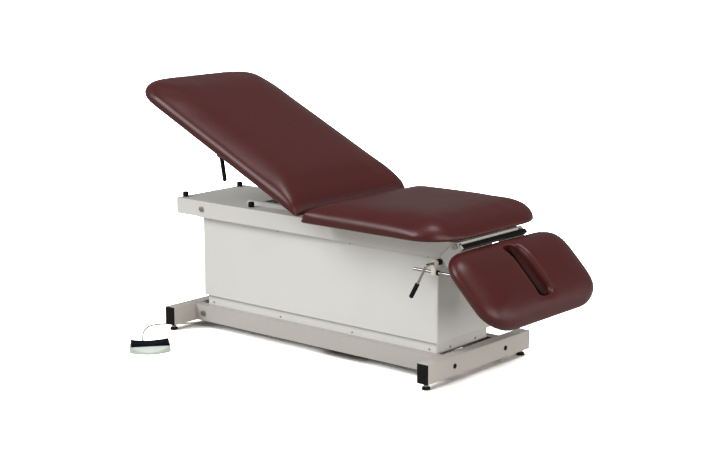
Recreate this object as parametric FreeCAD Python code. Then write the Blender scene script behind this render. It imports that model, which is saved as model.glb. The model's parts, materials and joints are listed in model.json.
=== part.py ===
"""Power treatment table: shrouded scissor lift, back, seat and drop sections, foot control.

Millimetres. +X runs from the head end of the back section to the drop section, +Z is up,
and the origin is on the floor under the middle of the base.
"""
import FreeCAD, Part
import math
import os

V = FreeCAD.Vector

# Base frame
BASE_LENGTH = 1397.0
RAIL_WIDTH = 50.8
RAIL_HEIGHT = 76.2
RAIL_LENGTH = 660.4
RAIL_WALL = 3.0
RAIL_BOTTOM = 25.0
RAIL_ROUND = 6.0
FRAME_WIDTH = 410.0
CHANNEL_HEIGHT = 67.0
CHANNEL_DEPTH = 41.0
CHANNEL_RISE = 4.5
SHEET = 3.0
CAP_LIP = 4.0
PLUG_RADIUS = 10.0
PLUG_SPACING = 332.0

# Levelling feet
FOOT_INSET = 21.0
FOOT_RADIUS = 15.5
FOOT_PAD_HEIGHT = 10.0
STEM_RADIUS = 5.0
STEM_REACH = 30.0

# Telescoping cover
SKIRT_INSET = 86.0
SKIRT_TOP_GAP = 13.0
COVER_GAP = (11.5, 12.0)
SHROUD_BOTTOM = 137.0
COVER_WALL = 2.0
COVER_CORNER = 8.0
SCREW_INSET = 36.5
SCREW_RADIUS = 4.0
SCREW_HEAD = 2.0
SCREW_EDGE = 10.0
FLANGE_THICKNESS = 2.0
FLANGE_OVERHANG = 2.0
FLANGE_SIDE_GAP = 0.5

# Top tray
TRAY_OVERHANG = (51.5, 35.5)
TRAY_BOTTOM = 479.0
TRAY_HEIGHT = 67.0
EAR_SETBACK = (102.0, 42.0)
EAR_DROP = 32.0
TRAY_LIP_DEPTH = 25.0
TRAY_LIP_INSET = 20.0
TRAY_OPENING = (-400.0, 76.0)
TRAY_OPENING_HALF = 88.0
SUPPORT_LEAD = 12.0
SUPPORT_SETBACK = 30.0
SUPPORT_HEIGHT = 15.0
SUPPORT_WIDTH = 25.0
SUPPORT_INNER_Y = 97.5
BUMPER_RADIUS = 10.0
BUMPER_TIP_RADIUS = 8.5
BUMPER_HEIGHT = 21.0
BUMPER_ALONG = (14.0, 400.0)
BUMPER_Y = 165.0

# Scissor lift
PIVOT_INSET = 98.5
SHOE_INSET = 158.5
ARM_WIDTH = 44.0
ARM_THICKNESS = 8.0
ARM_SKIRT_GAP = 10.0
ARM_GAP = 6.0
PIVOT_PIN_RADIUS = 8.0
BOLT_HEAD_RADIUS = 11.5
BOLT_HEAD_HEIGHT = 7.0
RUNNING_FIT = 0.05
SHOE_RADIUS = 20.0
SHOE_SETBACK = 4.0
SHOE_SIDE_GAP = 0.3
SHOE_PLAY = 6.0
TRACK_REACH = (220.0, 40.0)
AXLE_RADIUS = 9.0
CENTRE_PIN_RADIUS = 7.0
CENTRE_PLAY = 6.0
CROSS_TUBE_RADIUS = 18.0
OUTER_TUBE_ALONG = 920.0
INNER_TUBE_ALONG = 160.0

# Actuator
ACTUATOR_RADIUS = 850.0
ACTUATOR_LEAD = 5.0
ACTUATOR_TUBE = 24.0
ACTUATOR_ROD = 13.0
ACTUATOR_PIN = 7.0
ACTUATOR_MOUTH = 300.0
ACTUATOR_BLOCK = 22.0
ACTUATOR_FLOOR = 44.0
MOTOR_BRIDGE = 20.0
MOTOR_GAP = 4.0
MOTOR_RADIUS = 30.0
MOTOR_LENGTH = 120.0
LUG_THICKNESS = 6.0
LUG_GAP = 0.5

# Cushions
CUSHION_HALF_WIDTH = 343.0
BOARD_THICKNESS = 12.0
BOARD_INSET = 22.0
SIDE_DRAW = 6.0
SEAT_HINGE_LAP = 14.0
SEAT_OVERHANG = 18.0
SEAT_EDGE = 64.0
SEAT_CROWN = 12.0
SEAT_CORNER = (22.0, 128.0)
BACK_LENGTH = 975.0
BACK_START = 55.0
BACK_EDGE = 50.0
BACK_CROWN = 16.0
BACK_CORNER = (22.0, 95.0)
DROP_SPAN = (40.0, 376.0)
DROP_EDGE = 47.0
DROP_CROWN = 28.0
DROP_CORNER = (110.0, 110.0)
SLOT_SPAN = (82.0, 306.0)
SLOT_WIDTH = 62.0
SLOT_FLARE = 9.0

# Back section
BACK_ANGLE = 25.3
BACK_AXIS_X = 98.0
BACK_AXIS_DEPTH = 13.5
BACK_REST_GAP = 0.5
HINGE_PIN_RADIUS = 6.0
HINGE_ARM_THICKNESS = 6.0
HINGE_ARM_LENGTH = 170.0
HINGE_HUB_RADIUS = 10.0
HINGE_ARM_DEPTH = 9.0
HINGE_SLACK = 0.5
HINGE_PLATE_REACH = (30.0, 14.0)
HINGE_PLATE_DROP = 28.0
HINGE_RAIL_GAP = 4.0
HINGE_RAMP = (16.0, 36.0)
GAS_RADIUS = 220.0
GAS_SLOPE = 70.0
GAS_LUG_DEPTH = 12.0
GAS_Y = 60.0
GAS_TUBE = 11.0
GAS_ROD = 5.0
GAS_PIN = 4.0
GAS_MOUTH = 205.0
GAS_SIDE_GAP = 1.0
GAS_STRAP_X = (16.0, 46.0)
GAS_TOE = 10.0
GAS_HANGER_LAP = 30.0
LEVER_ALONG = 533.0
LEVER_Y = -300.0
LEVER_LENGTH = 100.0
LEVER_RADIUS = 9.0
LEVER_LEAN = 10.0
LEVER_PIVOT_DEPTH = 14.0

# Drop section and its friction lock
DROP_ANGLE = 45.0
DROP_AXIS_SETBACK = 8.0
DROP_AXIS_DEPTH = 13.0
DROP_ARM_THICKNESS = 5.0
DROP_ARM_GAP = 1.0
DROP_ARM_SPAN = (-15.0, 250.0)
DROP_ARM_DEPTH = 81.0
DROP_ARM_TAPER = (120.0, 22.0)
DROP_FLANGE = 28.0
DROP_BOLT_RADIUS = 7.0
DROP_BOLT_HEAD = (11.0, 5.0)
DROP_NUT = (9.5, 8.0)
DROP_BAR_SIDE = 17.0
DROP_BAR_ALONG = 10.0
DROP_BAR_RISE = 5.0
HUB_SETBACK = 79.0
HUB_DEPTH = 13.0
HUB_SHAFT_RADIUS = 6.0
HUB_WASHER_RADIUS = 10.5
LOCK_OFFSET = 35.0
LOCK_ROD_RADIUS = 6.0
LOCK_EYE_RADIUS = 8.0
LOCK_EYE_HALF = 9.0
LOCK_STUD_RADIUS = 5.0
LOCK_ROD_OUT = 35.0
LOCK_ROD_REACH = 160.0
LOCK_ROD_TAIL = 99.0
LOCK_ROD_PLAY = 0.6
CLAMP_BLOCK_SPAN = (22.0, 24.0)
CLAMP_BLOCK_WIDTH = 26.0
BUSH_RADIUS = 9.5
BUSH_LENGTH = 5.0
CLAMP_LEVER_OUT = 42.0
CLAMP_LEVER_ROD = 5.0
CLAMP_LEVER_LENGTH = 144.0
CLAMP_LEVER_LEAN = 30.0
CLAMP_GRIP_RADIUS = 8.5
CLAMP_GRIP_LENGTH = 66.0

# Control box under the cover
BOX_SETBACK = (210.0, 50.0)
BOX_HALF_WIDTH = 60.0
BOX_HEIGHT = 60.0
PAN_LIP = 20.0
MEMBER_WIDTH = 40.0
MEMBER_HEIGHT = 9.0
INLET_SIZE = (28.0, 20.0)
INLET_DEPTH = 14.0
INLET_WALL = 2.0
INLET_PIN_PITCH = 7.0

# Foot control
PEDAL_CENTRE = (-487.0, -612.0)
PEDAL_TURN = 50.9
PEDAL_LENGTH = 158.0
PEDAL_DEPTH = 92.0
PEDAL_EDGE = 9.0
PEDAL_BACK = 24.0
ROCKER_LENGTH = 150.0
ROCKER_DEPTH = 58.0
ROCKER_RISE = 15.0
ROCKER_DIP = 6.0
ROCKER_GAP = 4.0
ROCKER_PIN_RADIUS = 3.0
CORD_RADIUS = 2.75
RELIEF_RADIUS = 5.0
RELIEF_LENGTH = 16.0
RELIEF_X = -28.0
RELIEF_Z = 11.0

# Places worked out from the sizes above
HALF_FRAME = FRAME_WIDTH / 2
RAIL_INNER_X = BASE_LENGTH / 2 - RAIL_WIDTH
CHANNEL_BOTTOM = RAIL_BOTTOM + CHANNEL_RISE
CHANNEL_TOP = CHANNEL_BOTTOM + CHANNEL_HEIGHT
LOWER_PIVOT_Z = CHANNEL_BOTTOM + CHANNEL_HEIGHT / 2
SKIRT_LENGTH = BASE_LENGTH - 2 * SKIRT_INSET
SKIRT_WIDTH = FRAME_WIDTH - 2 * CHANNEL_DEPTH
SKIRT_TOP = TRAY_BOTTOM - SKIRT_TOP_GAP
SHROUD_LENGTH = SKIRT_LENGTH + 2 * COVER_GAP[0]
SHROUD_WIDTH = SKIRT_WIDTH + 2 * COVER_GAP[1]
TRAY_HEAD_X = -BASE_LENGTH / 2 - TRAY_OVERHANG[0]
TRAY_FOOT_X = BASE_LENGTH / 2 + TRAY_OVERHANG[1]
TRAY_TOP = TRAY_BOTTOM + TRAY_HEIGHT
EAR_X = (TRAY_FOOT_X - EAR_SETBACK[0], TRAY_FOOT_X - EAR_SETBACK[1])
BUMPER_X = [TRAY_HEAD_X + along for along in BUMPER_ALONG]
UPPER_PIVOT_Z = TRAY_BOTTOM + TRAY_HEIGHT / 2
PIVOT_X = -BASE_LENGTH / 2 + PIVOT_INSET
SHOE_X = BASE_LENGTH / 2 - SHOE_INSET
ARM_SPAN = SHOE_X - PIVOT_X
ARM_RISE = UPPER_PIVOT_Z - LOWER_PIVOT_Z
ARM_LENGTH = math.hypot(ARM_SPAN, ARM_RISE)
ARM_ANGLE = math.degrees(math.atan2(ARM_RISE, ARM_SPAN))
OUTER_ARM_Y = SKIRT_WIDTH / 2 - COVER_WALL - ARM_SKIRT_GAP - ARM_THICKNESS / 2
INNER_ARM_Y = OUTER_ARM_Y - ARM_THICKNESS - ARM_GAP
ACTUATOR_FOOT_X = PIVOT_X + ACTUATOR_RADIUS
BOX_X = (ACTUATOR_FOOT_X - BOX_SETBACK[0], ACTUATOR_FOOT_X - BOX_SETBACK[1])
CUSHION_BOTTOM = TRAY_TOP + SUPPORT_HEIGHT
BACK_AXIS_Z = CUSHION_BOTTOM + BACK_REST_GAP - BACK_AXIS_DEPTH
SEAT_X = (BACK_AXIS_X - SEAT_HINGE_LAP, TRAY_FOOT_X + SEAT_OVERHANG)
DROP_AXIS = (TRAY_FOOT_X - DROP_AXIS_SETBACK, TRAY_TOP - DROP_AXIS_DEPTH)
NEAR_ARM_FACE = -HALF_FRAME - DROP_ARM_GAP
HUB = (TRAY_FOOT_X - HUB_SETBACK, TRAY_BOTTOM - HUB_DEPTH)
ROD_Z = HUB[1] - LOCK_OFFSET
LOCK_ROD_Y = -HALF_FRAME - LOCK_ROD_OUT
LOCK_ROD_ANCHOR_X = HUB[0] + LOCK_ROD_REACH
LOCK_ROD_TAIL_X = HUB[0] - LOCK_ROD_TAIL
CLAMP_BLOCK_Y = (LOCK_ROD_Y - CLAMP_BLOCK_SPAN[0], LOCK_ROD_Y + CLAMP_BLOCK_SPAN[1])
CLAMP_LEVER_Y = LOCK_ROD_Y - CLAMP_LEVER_OUT


def box(x, y, z):
    """Box between low and high values on each axis."""
    return Part.makeBox(x[1] - x[0], y[1] - y[0], z[1] - z[0], V(x[0], y[0], z[0]))


def rod(start, end, radius):
    """Round bar between two points."""
    way = V(*end) - V(*start)
    return Part.makeCylinder(radius, way.Length, V(*start), way)


def cross_rod(x, z, y, radius):
    """Round bar along Y."""
    return rod((x, y[0], z), (x, y[1], z), radius)


def pipe(start, end, radius, bore):
    """Round tube between two points."""
    return rod(start, end, radius).cut(rod(start, end, bore))


def plate(points, y):
    """Flat plate with an outline in X and Z, between two Y values."""
    wire = Part.makePolygon([V(px, y[0], pz) for px, pz in points + points[:1]])
    return Part.Face(wire).extrude(V(0, y[1] - y[0], 0))


def turned(shape, angle, x, z):
    """The shape turned about an axis along Y, positive drops its +X side."""
    copy = shape.copy()
    copy.rotate(V(x, 0, z), V(0, 1, 0), angle)
    return copy


def mirrored(shape):
    """The same piece on the other side of the table."""
    return shape.mirror(V(0, 0, 0), V(0, 1, 0))


def both_sides(shape):
    """The near piece and its far twin as separate solids."""
    return Part.makeCompound([shape, mirrored(shape)])


def link_point(x, z, angle, along, rise=0.0):
    """Point in a link's own frame: along it and above it, at an angle up from +X."""
    turn = math.radians(angle)
    return (x + along * math.cos(turn) - rise * math.sin(turn),
            z + along * math.sin(turn) + rise * math.cos(turn))


def rounded_outline(x, half_width, z, corners, inset):
    """Closed outline with rounded corners; corners are the radii at its low and high X end."""
    x0 = x[0] + inset
    x1 = x[1] - inset
    w = half_width - inset
    r0 = max(corners[0] - inset, 4.0)
    r1 = max(corners[1] - inset, 4.0)
    k = math.sqrt(0.5)
    low_near = (V(x0, -w + r0, z), V(x0 + r0 - r0 * k, -w + r0 - r0 * k, z), V(x0 + r0, -w, z))
    high_near = (V(x1 - r1, -w, z), V(x1 - r1 + r1 * k, -w + r1 - r1 * k, z), V(x1, -w + r1, z))
    high_far = (V(x1, w - r1, z), V(x1 - r1 + r1 * k, w - r1 + r1 * k, z), V(x1 - r1, w, z))
    low_far = (V(x0 + r0, w, z), V(x0 + r0 - r0 * k, w - r0 + r0 * k, z), V(x0, w - r0, z))
    arcs = [low_near, high_near, high_far, low_far]
    edges = []
    for here, following in zip(arcs, arcs[1:] + arcs[:1]):
        edges.append(Part.Arc(*here).toShape())
        edges.append(Part.LineSegment(here[2], following[0]).toShape())
    return Part.Wire(edges)


def cushion(x, half_width, z, edge, crown, corners):
    """Crowned pad with drawn-in sides, hollowed below for its board."""
    stations = [(0.0, SIDE_DRAW), (0.25 * edge, 0.0), (0.62 * edge, 1.0), (0.84 * edge, 7.0), (edge, 22.0),
                (edge + 0.55 * crown, 62.0), (edge + 0.85 * crown, 98.0), (edge + crown, 138.0)]
    wires = [rounded_outline(x, half_width, z + height, corners, inset) for height, inset in stations]
    body = Part.makeLoft(wires, True, True)
    return body.cut(board(x, half_width, z, corners))


def board(x, half_width, z, corners):
    """Flat board let into the underside of a cushion."""
    outline = rounded_outline(x, half_width, z, corners, BOARD_INSET)
    return Part.Face(outline).extrude(V(0, 0, BOARD_THICKNESS))


def hollow_tube(x, y, z, wall, along):
    """Rectangular tube, open at both ends along the named axis."""
    outer = box(x, y, z)
    inner = {"x": x, "y": y, "z": z}
    for axis, limits in list(inner.items()):
        if axis != along:
            inner[axis] = (limits[0] + wall, limits[1] - wall)
    return outer.cut(box(inner["x"], inner["y"], inner["z"]))


def screw_row(length, width, z):
    """Round-headed screws round a cover of this length and width."""
    heads = []
    pitch = (SKIRT_LENGTH - 2 * SCREW_INSET) / 3
    for step in (-1.5, -0.5, 0.5, 1.5):
        head = cross_rod(step * pitch, z, (-width / 2 - SCREW_HEAD, -width / 2), SCREW_RADIUS)
        heads += [head, mirrored(head)]
    for end in (-length / 2, length / 2):
        out = math.copysign(SCREW_HEAD, end)
        for y in (-width / 4, width / 4):
            heads.append(rod((end, y, z), (end + out, y, z), SCREW_RADIUS))
    return Part.makeCompound(heads)


def end_rail(side):
    """End rail of the base, with its plug holes closed by plugs."""
    outer = side * BASE_LENGTH / 2
    x = sorted((outer, outer - side * RAIL_WIDTH))
    tube = hollow_tube(x, (-RAIL_LENGTH / 2, RAIL_LENGTH / 2), (RAIL_BOTTOM, RAIL_BOTTOM + RAIL_HEIGHT),
                       RAIL_WALL, "y")
    edges = [e for e in tube.Edges if e.BoundBox.YLength > RAIL_LENGTH - 1 and on_outside(e, x)]
    tube = tube.makeFillet(min(RAIL_ROUND, 0.9 * RAIL_WALL), edges)
    for end in (-1, 1):
        foot = foot_place(side, end)
        hole = rod((foot[0], foot[1], RAIL_BOTTOM - 1), (foot[0], foot[1], RAIL_BOTTOM + RAIL_WALL + 1),
                   STEM_RADIUS + RUNNING_FIT)
        tube = tube.cut(hole)
    if side > 0:
        for plug in plug_bars(RAIL_WALL + 1):
            tube = tube.cut(plug)
    return tube


def on_outside(edge, x):
    """True for a long edge on the outer corners of an end rail."""
    place = edge.BoundBox.Center
    flush_x = min(abs(place.x - x[0]), abs(place.x - x[1])) < 0.1
    flush_z = min(abs(place.z - RAIL_BOTTOM), abs(place.z - RAIL_BOTTOM - RAIL_HEIGHT)) < 0.1
    return flush_x and flush_z


def foot_place(side, end):
    """Centre of one levelling foot."""
    return (side * (BASE_LENGTH - RAIL_WIDTH) / 2, end * (RAIL_LENGTH / 2 - FOOT_INSET))


def plug_bars(depth):
    """Round bars through the outer wall of the foot-end rail."""
    face = BASE_LENGTH / 2
    z = RAIL_BOTTOM + RAIL_HEIGHT / 2
    return [rod((face - depth, y, z), (face + 1.0, y, z), PLUG_RADIUS - 2)
            for y in (-PLUG_SPACING / 2, PLUG_SPACING / 2)]


def rail_plugs():
    """Black plugs in the foot-end rail, each a stem with a thin head."""
    face = BASE_LENGTH / 2
    z = RAIL_BOTTOM + RAIL_HEIGHT / 2
    plugs = []
    for y in (-PLUG_SPACING / 2, PLUG_SPACING / 2):
        stem = rod((face - RAIL_WALL - 1, y, z), (face, y, z), PLUG_RADIUS - 2)
        plugs.append(stem.fuse(rod((face, y, z), (face + 1.5, y, z), PLUG_RADIUS)))
    return Part.makeCompound(plugs)


def end_caps():
    """Push-in caps at the four rail ends."""
    caps = []
    for side in (-1, 1):
        outer = side * BASE_LENGTH / 2
        x = sorted((outer, outer - side * RAIL_WIDTH))
        z = (RAIL_BOTTOM, RAIL_BOTTOM + RAIL_HEIGHT)
        end = RAIL_LENGTH / 2
        lid = box(x, (-end - CAP_LIP, -end), z)
        lid = lid.makeFillet(CAP_LIP * 0.6, [e for e in lid.Edges if e.BoundBox.YMax < -end - CAP_LIP + 0.1])
        spigot = box((x[0] + RAIL_WALL, x[1] - RAIL_WALL), (-end, -end + 3 * CAP_LIP),
                     (z[0] + RAIL_WALL, z[1] - RAIL_WALL))
        cap = lid.fuse(spigot)
        caps += [cap, mirrored(cap)]
    return Part.makeCompound(caps)


def levelling_foot(side, end):
    """Rubber-padded foot on a threaded stem."""
    x, y = foot_place(side, end)
    pad = Part.makeCone(FOOT_RADIUS, FOOT_RADIUS * 0.75, FOOT_PAD_HEIGHT, V(x, y, 0), V(0, 0, 1))
    stem = rod((x, y, FOOT_PAD_HEIGHT), (x, y, FOOT_PAD_HEIGHT + STEM_REACH), STEM_RADIUS)
    return pad.fuse(stem)


def side_channel():
    """Near side channel of the base, open towards the middle."""
    y = (-HALF_FRAME, -HALF_FRAME + CHANNEL_DEPTH)
    body = box((-RAIL_INNER_X, RAIL_INNER_X), y, (CHANNEL_BOTTOM, CHANNEL_TOP))
    hollow = box((-RAIL_INNER_X, RAIL_INNER_X), (y[0] + SHEET, y[1]),
                 (CHANNEL_BOTTOM + SHEET, CHANNEL_TOP - SHEET))
    hole = cross_rod(PIVOT_X, LOWER_PIVOT_Z, (y[0] - 1, y[0] + SHEET + 1), PIVOT_PIN_RADIUS)
    return body.cut(hollow).cut(hole)


def cover(length, width, z):
    """Sheet-metal ring with rounded upright corners."""
    x = (-length / 2, length / 2)
    corners = (COVER_CORNER, COVER_CORNER)
    outer = rounded_outline(x, width / 2, z[0], corners, 0)
    inner = rounded_outline(x, width / 2, z[0], corners, COVER_WALL)
    height = V(0, 0, z[1] - z[0])
    return Part.Face(outer).extrude(height).cut(Part.Face(inner).extrude(height))


def shroud():
    """Upper cover with a flange at its top that meets the tray's sides."""
    body = cover(SHROUD_LENGTH, SHROUD_WIDTH, (SHROUD_BOTTOM, TRAY_BOTTOM))
    half_x = SHROUD_LENGTH / 2 + FLANGE_OVERHANG
    half_y = HALF_FRAME - FLANGE_SIDE_GAP
    z = (TRAY_BOTTOM - FLANGE_THICKNESS, TRAY_BOTTOM)
    flange = box((-half_x, half_x), (-half_y, half_y), z)
    inner_x = SHROUD_LENGTH / 2 - COVER_WALL
    inner_y = SHROUD_WIDTH / 2 - COVER_WALL
    ring = rounded_outline((-inner_x, inner_x), inner_y, z[0], (COVER_CORNER, COVER_CORNER), 0)
    return body.fuse(flange.cut(Part.Face(ring).extrude(V(0, 0, FLANGE_THICKNESS))))


def base_member():
    """Cross member between the side channels, with lugs for the actuator pin."""
    half = HALF_FRAME - CHANNEL_DEPTH
    z = (CHANNEL_BOTTOM, CHANNEL_BOTTOM + MEMBER_HEIGHT)
    x = (ACTUATOR_FOOT_X - MEMBER_WIDTH / 2, ACTUATOR_FOOT_X + MEMBER_WIDTH / 2)
    bar = box(x, (-half, half), z)
    inner_y = ACTUATOR_TUBE + LUG_GAP
    lug = box(x, (-inner_y - LUG_THICKNESS, -inner_y), (z[1], LOWER_PIVOT_Z + 2 * ACTUATOR_PIN))
    bore = cross_rod(ACTUATOR_FOOT_X, LOWER_PIVOT_Z, (-half, half), ACTUATOR_PIN)
    return bar.fuse([lug, mirrored(lug)]).cut(bore)


def pivot_bolts(z, arm_y):
    """Near and far pivot bolts from the frame's outer face to an arm."""
    face = -HALF_FRAME
    head = cross_rod(PIVOT_X, z, (face - BOLT_HEAD_HEIGHT, face), BOLT_HEAD_RADIUS)
    head = head.makeFillet(3.0, [e for e in head.Edges if e.BoundBox.YMax < face - BOLT_HEAD_HEIGHT + 0.1])
    shank = cross_rod(PIVOT_X, z, (face, -arm_y + ARM_THICKNESS / 2 + 2), PIVOT_PIN_RADIUS)
    collar = cross_rod(PIVOT_X, z, (face + SHEET, -arm_y - ARM_THICKNESS / 2 - 0.3), PIVOT_PIN_RADIUS + 4)
    return both_sides(head.fuse([shank, collar]))


def arm_bar(y, tilt, z):
    """One flat scissor arm from its pivot towards the foot end."""
    half = ARM_WIDTH / 2
    side = (y - ARM_THICKNESS / 2, y + ARM_THICKNESS / 2)
    flat = box((PIVOT_X, PIVOT_X + ARM_LENGTH), side, (z - half, z + half))
    ends = [cross_rod(x, z, side, half) for x in (PIVOT_X, PIVOT_X + ARM_LENGTH)]
    bore = cross_rod(PIVOT_X, z, side, PIVOT_PIN_RADIUS + RUNNING_FIT)
    return turned(flat.fuse(ends).cut(bore), tilt, PIVOT_X, z)


def outer_arms():
    """Outer arms, hinged on the base, with cross tube, lugs, centre pins and slide axle."""
    bar = arm_bar(-OUTER_ARM_Y, -ARM_ANGLE, LOWER_PIVOT_Z)
    centre = link_point(PIVOT_X, LOWER_PIVOT_Z, ARM_ANGLE, ARM_LENGTH / 2)
    pin_end = -INNER_ARM_Y + ARM_THICKNESS / 2 + 1
    pin = cross_rod(centre[0], centre[1], (-OUTER_ARM_Y, pin_end), CENTRE_PIN_RADIUS)
    near = bar.fuse(pin)
    tube_at = link_point(PIVOT_X, LOWER_PIVOT_Z, ARM_ANGLE, OUTER_TUBE_ALONG)
    tube = cross_rod(tube_at[0], tube_at[1], (-OUTER_ARM_Y, OUTER_ARM_Y), CROSS_TUBE_RADIUS)
    axle = cross_rod(SHOE_X, UPPER_PIVOT_Z, (-OUTER_ARM_Y, OUTER_ARM_Y), AXLE_RADIUS)
    lug = crank_lug(tube_at)
    return near.fuse([mirrored(near), tube, axle, lug, mirrored(lug)])


def actuator_eye():
    """Pin place where the actuator rod pushes on the outer arms."""
    return link_point(PIVOT_X, LOWER_PIVOT_Z, ARM_ANGLE + ACTUATOR_LEAD, ACTUATOR_RADIUS)


def crank_lug(tube_at):
    """Near lug from the cross tube up to the actuator eye."""
    eye = actuator_eye()
    y = (-ACTUATOR_ROD - LUG_GAP - LUG_THICKNESS, -ACTUATOR_ROD - LUG_GAP)
    away = V(eye[0] - tube_at[0], 0, eye[1] - tube_at[1])
    away.normalize()
    side = V(away.z, 0, -away.x) * (2 * ACTUATOR_PIN)
    tip = V(eye[0], 0, eye[1]) + away * (2 * ACTUATOR_PIN)
    root = V(tube_at[0], 0, tube_at[1])
    corners = [root + side, tip + side, tip - side, root - side]
    lug = plate([(c.x, c.z) for c in corners], y)
    return lug.cut(cross_rod(eye[0], eye[1], (y[0] - 1, y[1] + 1), ACTUATOR_PIN))


def inner_arms():
    """Inner arms, hinged on the top tray, with cross tube and slide axle."""
    bar = arm_bar(-INNER_ARM_Y, ARM_ANGLE, UPPER_PIVOT_Z)
    centre = link_point(PIVOT_X, UPPER_PIVOT_Z, -ARM_ANGLE, ARM_LENGTH / 2)
    window = cross_rod(centre[0], centre[1], (-INNER_ARM_Y - ARM_THICKNESS, -INNER_ARM_Y + ARM_THICKNESS),
                       CENTRE_PIN_RADIUS + CENTRE_PLAY)
    near = bar.cut(window)
    tube_at = link_point(PIVOT_X, UPPER_PIVOT_Z, -ARM_ANGLE, INNER_TUBE_ALONG)
    tube = cross_rod(tube_at[0], tube_at[1], (-INNER_ARM_Y, INNER_ARM_Y), CROSS_TUBE_RADIUS)
    axle = cross_rod(SHOE_X, LOWER_PIVOT_Z, (-INNER_ARM_Y, INNER_ARM_Y), AXLE_RADIUS)
    return near.fuse([mirrored(near), tube, axle])


def slide_shoes(z, arm_y, shoe_y, web_y):
    """Round nylon shoes on stub axles at the free ends of a pair of arms, guided by a channel's web."""
    start = -arm_y - ARM_THICKNESS / 2
    stub = cross_rod(SHOE_X, z, (-shoe_y, start), AXLE_RADIUS)
    shoe = cross_rod(SHOE_X, z, (-web_y + SHOE_SIDE_GAP, -shoe_y), SHOE_RADIUS)
    return both_sides(stub.fuse(shoe))


def shoe_tracks():
    """Channels in the top tray in which the outer arms' shoes slide."""
    reach = SHOE_RADIUS + SHOE_PLAY
    x = (SHOE_X - TRACK_REACH[0], SHOE_X + TRACK_REACH[1])
    y = (-HALF_FRAME + SHEET, -OUTER_ARM_Y - ARM_THICKNESS / 2 - 2)
    z = (UPPER_PIVOT_Z - reach - SHEET, TRAY_TOP - SHEET)
    body = box(x, y, z)
    hollow = box(x, (y[0] + SHEET, y[1]), (UPPER_PIVOT_Z - reach, UPPER_PIVOT_Z + reach))
    return both_sides(body.cut(hollow))


def actuator_places():
    """Base pin, rod eye and the unit direction between them."""
    foot = V(ACTUATOR_FOOT_X, 0, LOWER_PIVOT_Z)
    eye = V(actuator_eye()[0], 0, actuator_eye()[1])
    way = eye - foot
    way.normalize()
    return foot, eye, way


def actuator_body():
    """Actuator: gear block on its base pin, guide tube and motor."""
    foot, eye, way = actuator_places()
    side = V(way.z, 0, -way.x)
    tube = Part.makeCylinder(ACTUATOR_TUBE, ACTUATOR_MOUTH, foot, way)
    bore = Part.makeCylinder(ACTUATOR_ROD + LUG_GAP, ACTUATOR_MOUTH, foot + way * ACTUATOR_FLOOR, way)
    block = cross_rod(foot.x, foot.z, (-ACTUATOR_TUBE, ACTUATOR_TUBE), ACTUATOR_BLOCK)
    motor_start = foot + way * ACTUATOR_FLOOR + side * (ACTUATOR_TUBE + MOTOR_GAP + MOTOR_RADIUS)
    motor = Part.makeCylinder(MOTOR_RADIUS, MOTOR_LENGTH, motor_start, way)
    bridge_start = foot + way * (ACTUATOR_FLOOR + MOTOR_BRIDGE) + side * (ACTUATOR_ROD + LUG_GAP)
    bridge = Part.makeCylinder(MOTOR_BRIDGE - 2, ACTUATOR_TUBE + MOTOR_RADIUS, bridge_start, side)
    body = tube.fuse([block, motor, bridge]).cut(bore)
    return body.cut(cross_rod(foot.x, foot.z, (-ACTUATOR_TUBE, ACTUATOR_TUBE), ACTUATOR_PIN + RUNNING_FIT))


def actuator_rod():
    """Actuator rod, from inside its tube to the eye on the scissor arms."""
    foot, eye, way = actuator_places()
    low = foot + way * (ACTUATOR_FLOOR + 4)
    stem = Part.makeCylinder(ACTUATOR_ROD, (eye - low).Length, low, way)
    ring = cross_rod(eye.x, eye.z, (-ACTUATOR_ROD, ACTUATOR_ROD), 2 * ACTUATOR_PIN)
    bore = cross_rod(eye.x, eye.z, (-ACTUATOR_ROD, ACTUATOR_ROD), ACTUATOR_PIN + RUNNING_FIT)
    return stem.fuse(ring).cut(bore)


def actuator_base_pin():
    """Pin through the base member's lugs and the actuator's gear block."""
    half = ACTUATOR_TUBE + LUG_GAP + LUG_THICKNESS
    return cross_rod(ACTUATOR_FOOT_X, LOWER_PIVOT_Z, (-half, half), ACTUATOR_PIN)


def actuator_rod_pin():
    """Pin through the crank lugs and the actuator rod's eye."""
    half = ACTUATOR_ROD + LUG_GAP + LUG_THICKNESS
    eye = actuator_eye()
    return cross_rod(eye[0], eye[1], (-half, half), ACTUATOR_PIN)


def tray():
    """Folded top tray: top sheet, sides, head end and the ears of the drop section's lock."""
    x = (TRAY_HEAD_X, TRAY_FOOT_X)
    body = box(x, (-HALF_FRAME, HALF_FRAME), (TRAY_BOTTOM, TRAY_TOP))
    hollow = box((x[0] + SHEET, x[1] + 1), (-HALF_FRAME + SHEET, HALF_FRAME - SHEET),
                 (TRAY_BOTTOM - 1, TRAY_TOP - SHEET))
    lip_y = HALF_FRAME - TRAY_LIP_INSET
    lip = box((x[1] - SHEET, x[1]), (-lip_y, lip_y), (TRAY_TOP - TRAY_LIP_DEPTH, TRAY_TOP - SHEET))
    opening = box(TRAY_OPENING, (-TRAY_OPENING_HALF, TRAY_OPENING_HALF), (TRAY_TOP - 2 * SHEET, TRAY_TOP + 1))
    ear = box(EAR_X, (-HALF_FRAME, -HALF_FRAME + SHEET),
              (TRAY_BOTTOM - EAR_DROP, TRAY_BOTTOM + 1))
    body = body.cut(hollow).fuse([lip, ear, mirrored(ear)]).cut(opening)
    for side in (-1, 1):
        body = body.cut(box(hinge_plate_x(), hinge_pin_y(side), (TRAY_TOP - SHEET, TRAY_TOP)))
    across = (-HALF_FRAME, HALF_FRAME)
    body = body.cut(cross_rod(PIVOT_X, UPPER_PIVOT_Z, across, PIVOT_PIN_RADIUS))
    body = body.cut(cross_rod(*DROP_AXIS, across, DROP_BOLT_RADIUS))
    return body.cut(cross_rod(*HUB, (-HALF_FRAME, 0), HUB_SHAFT_RADIUS + RUNNING_FIT))


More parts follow.
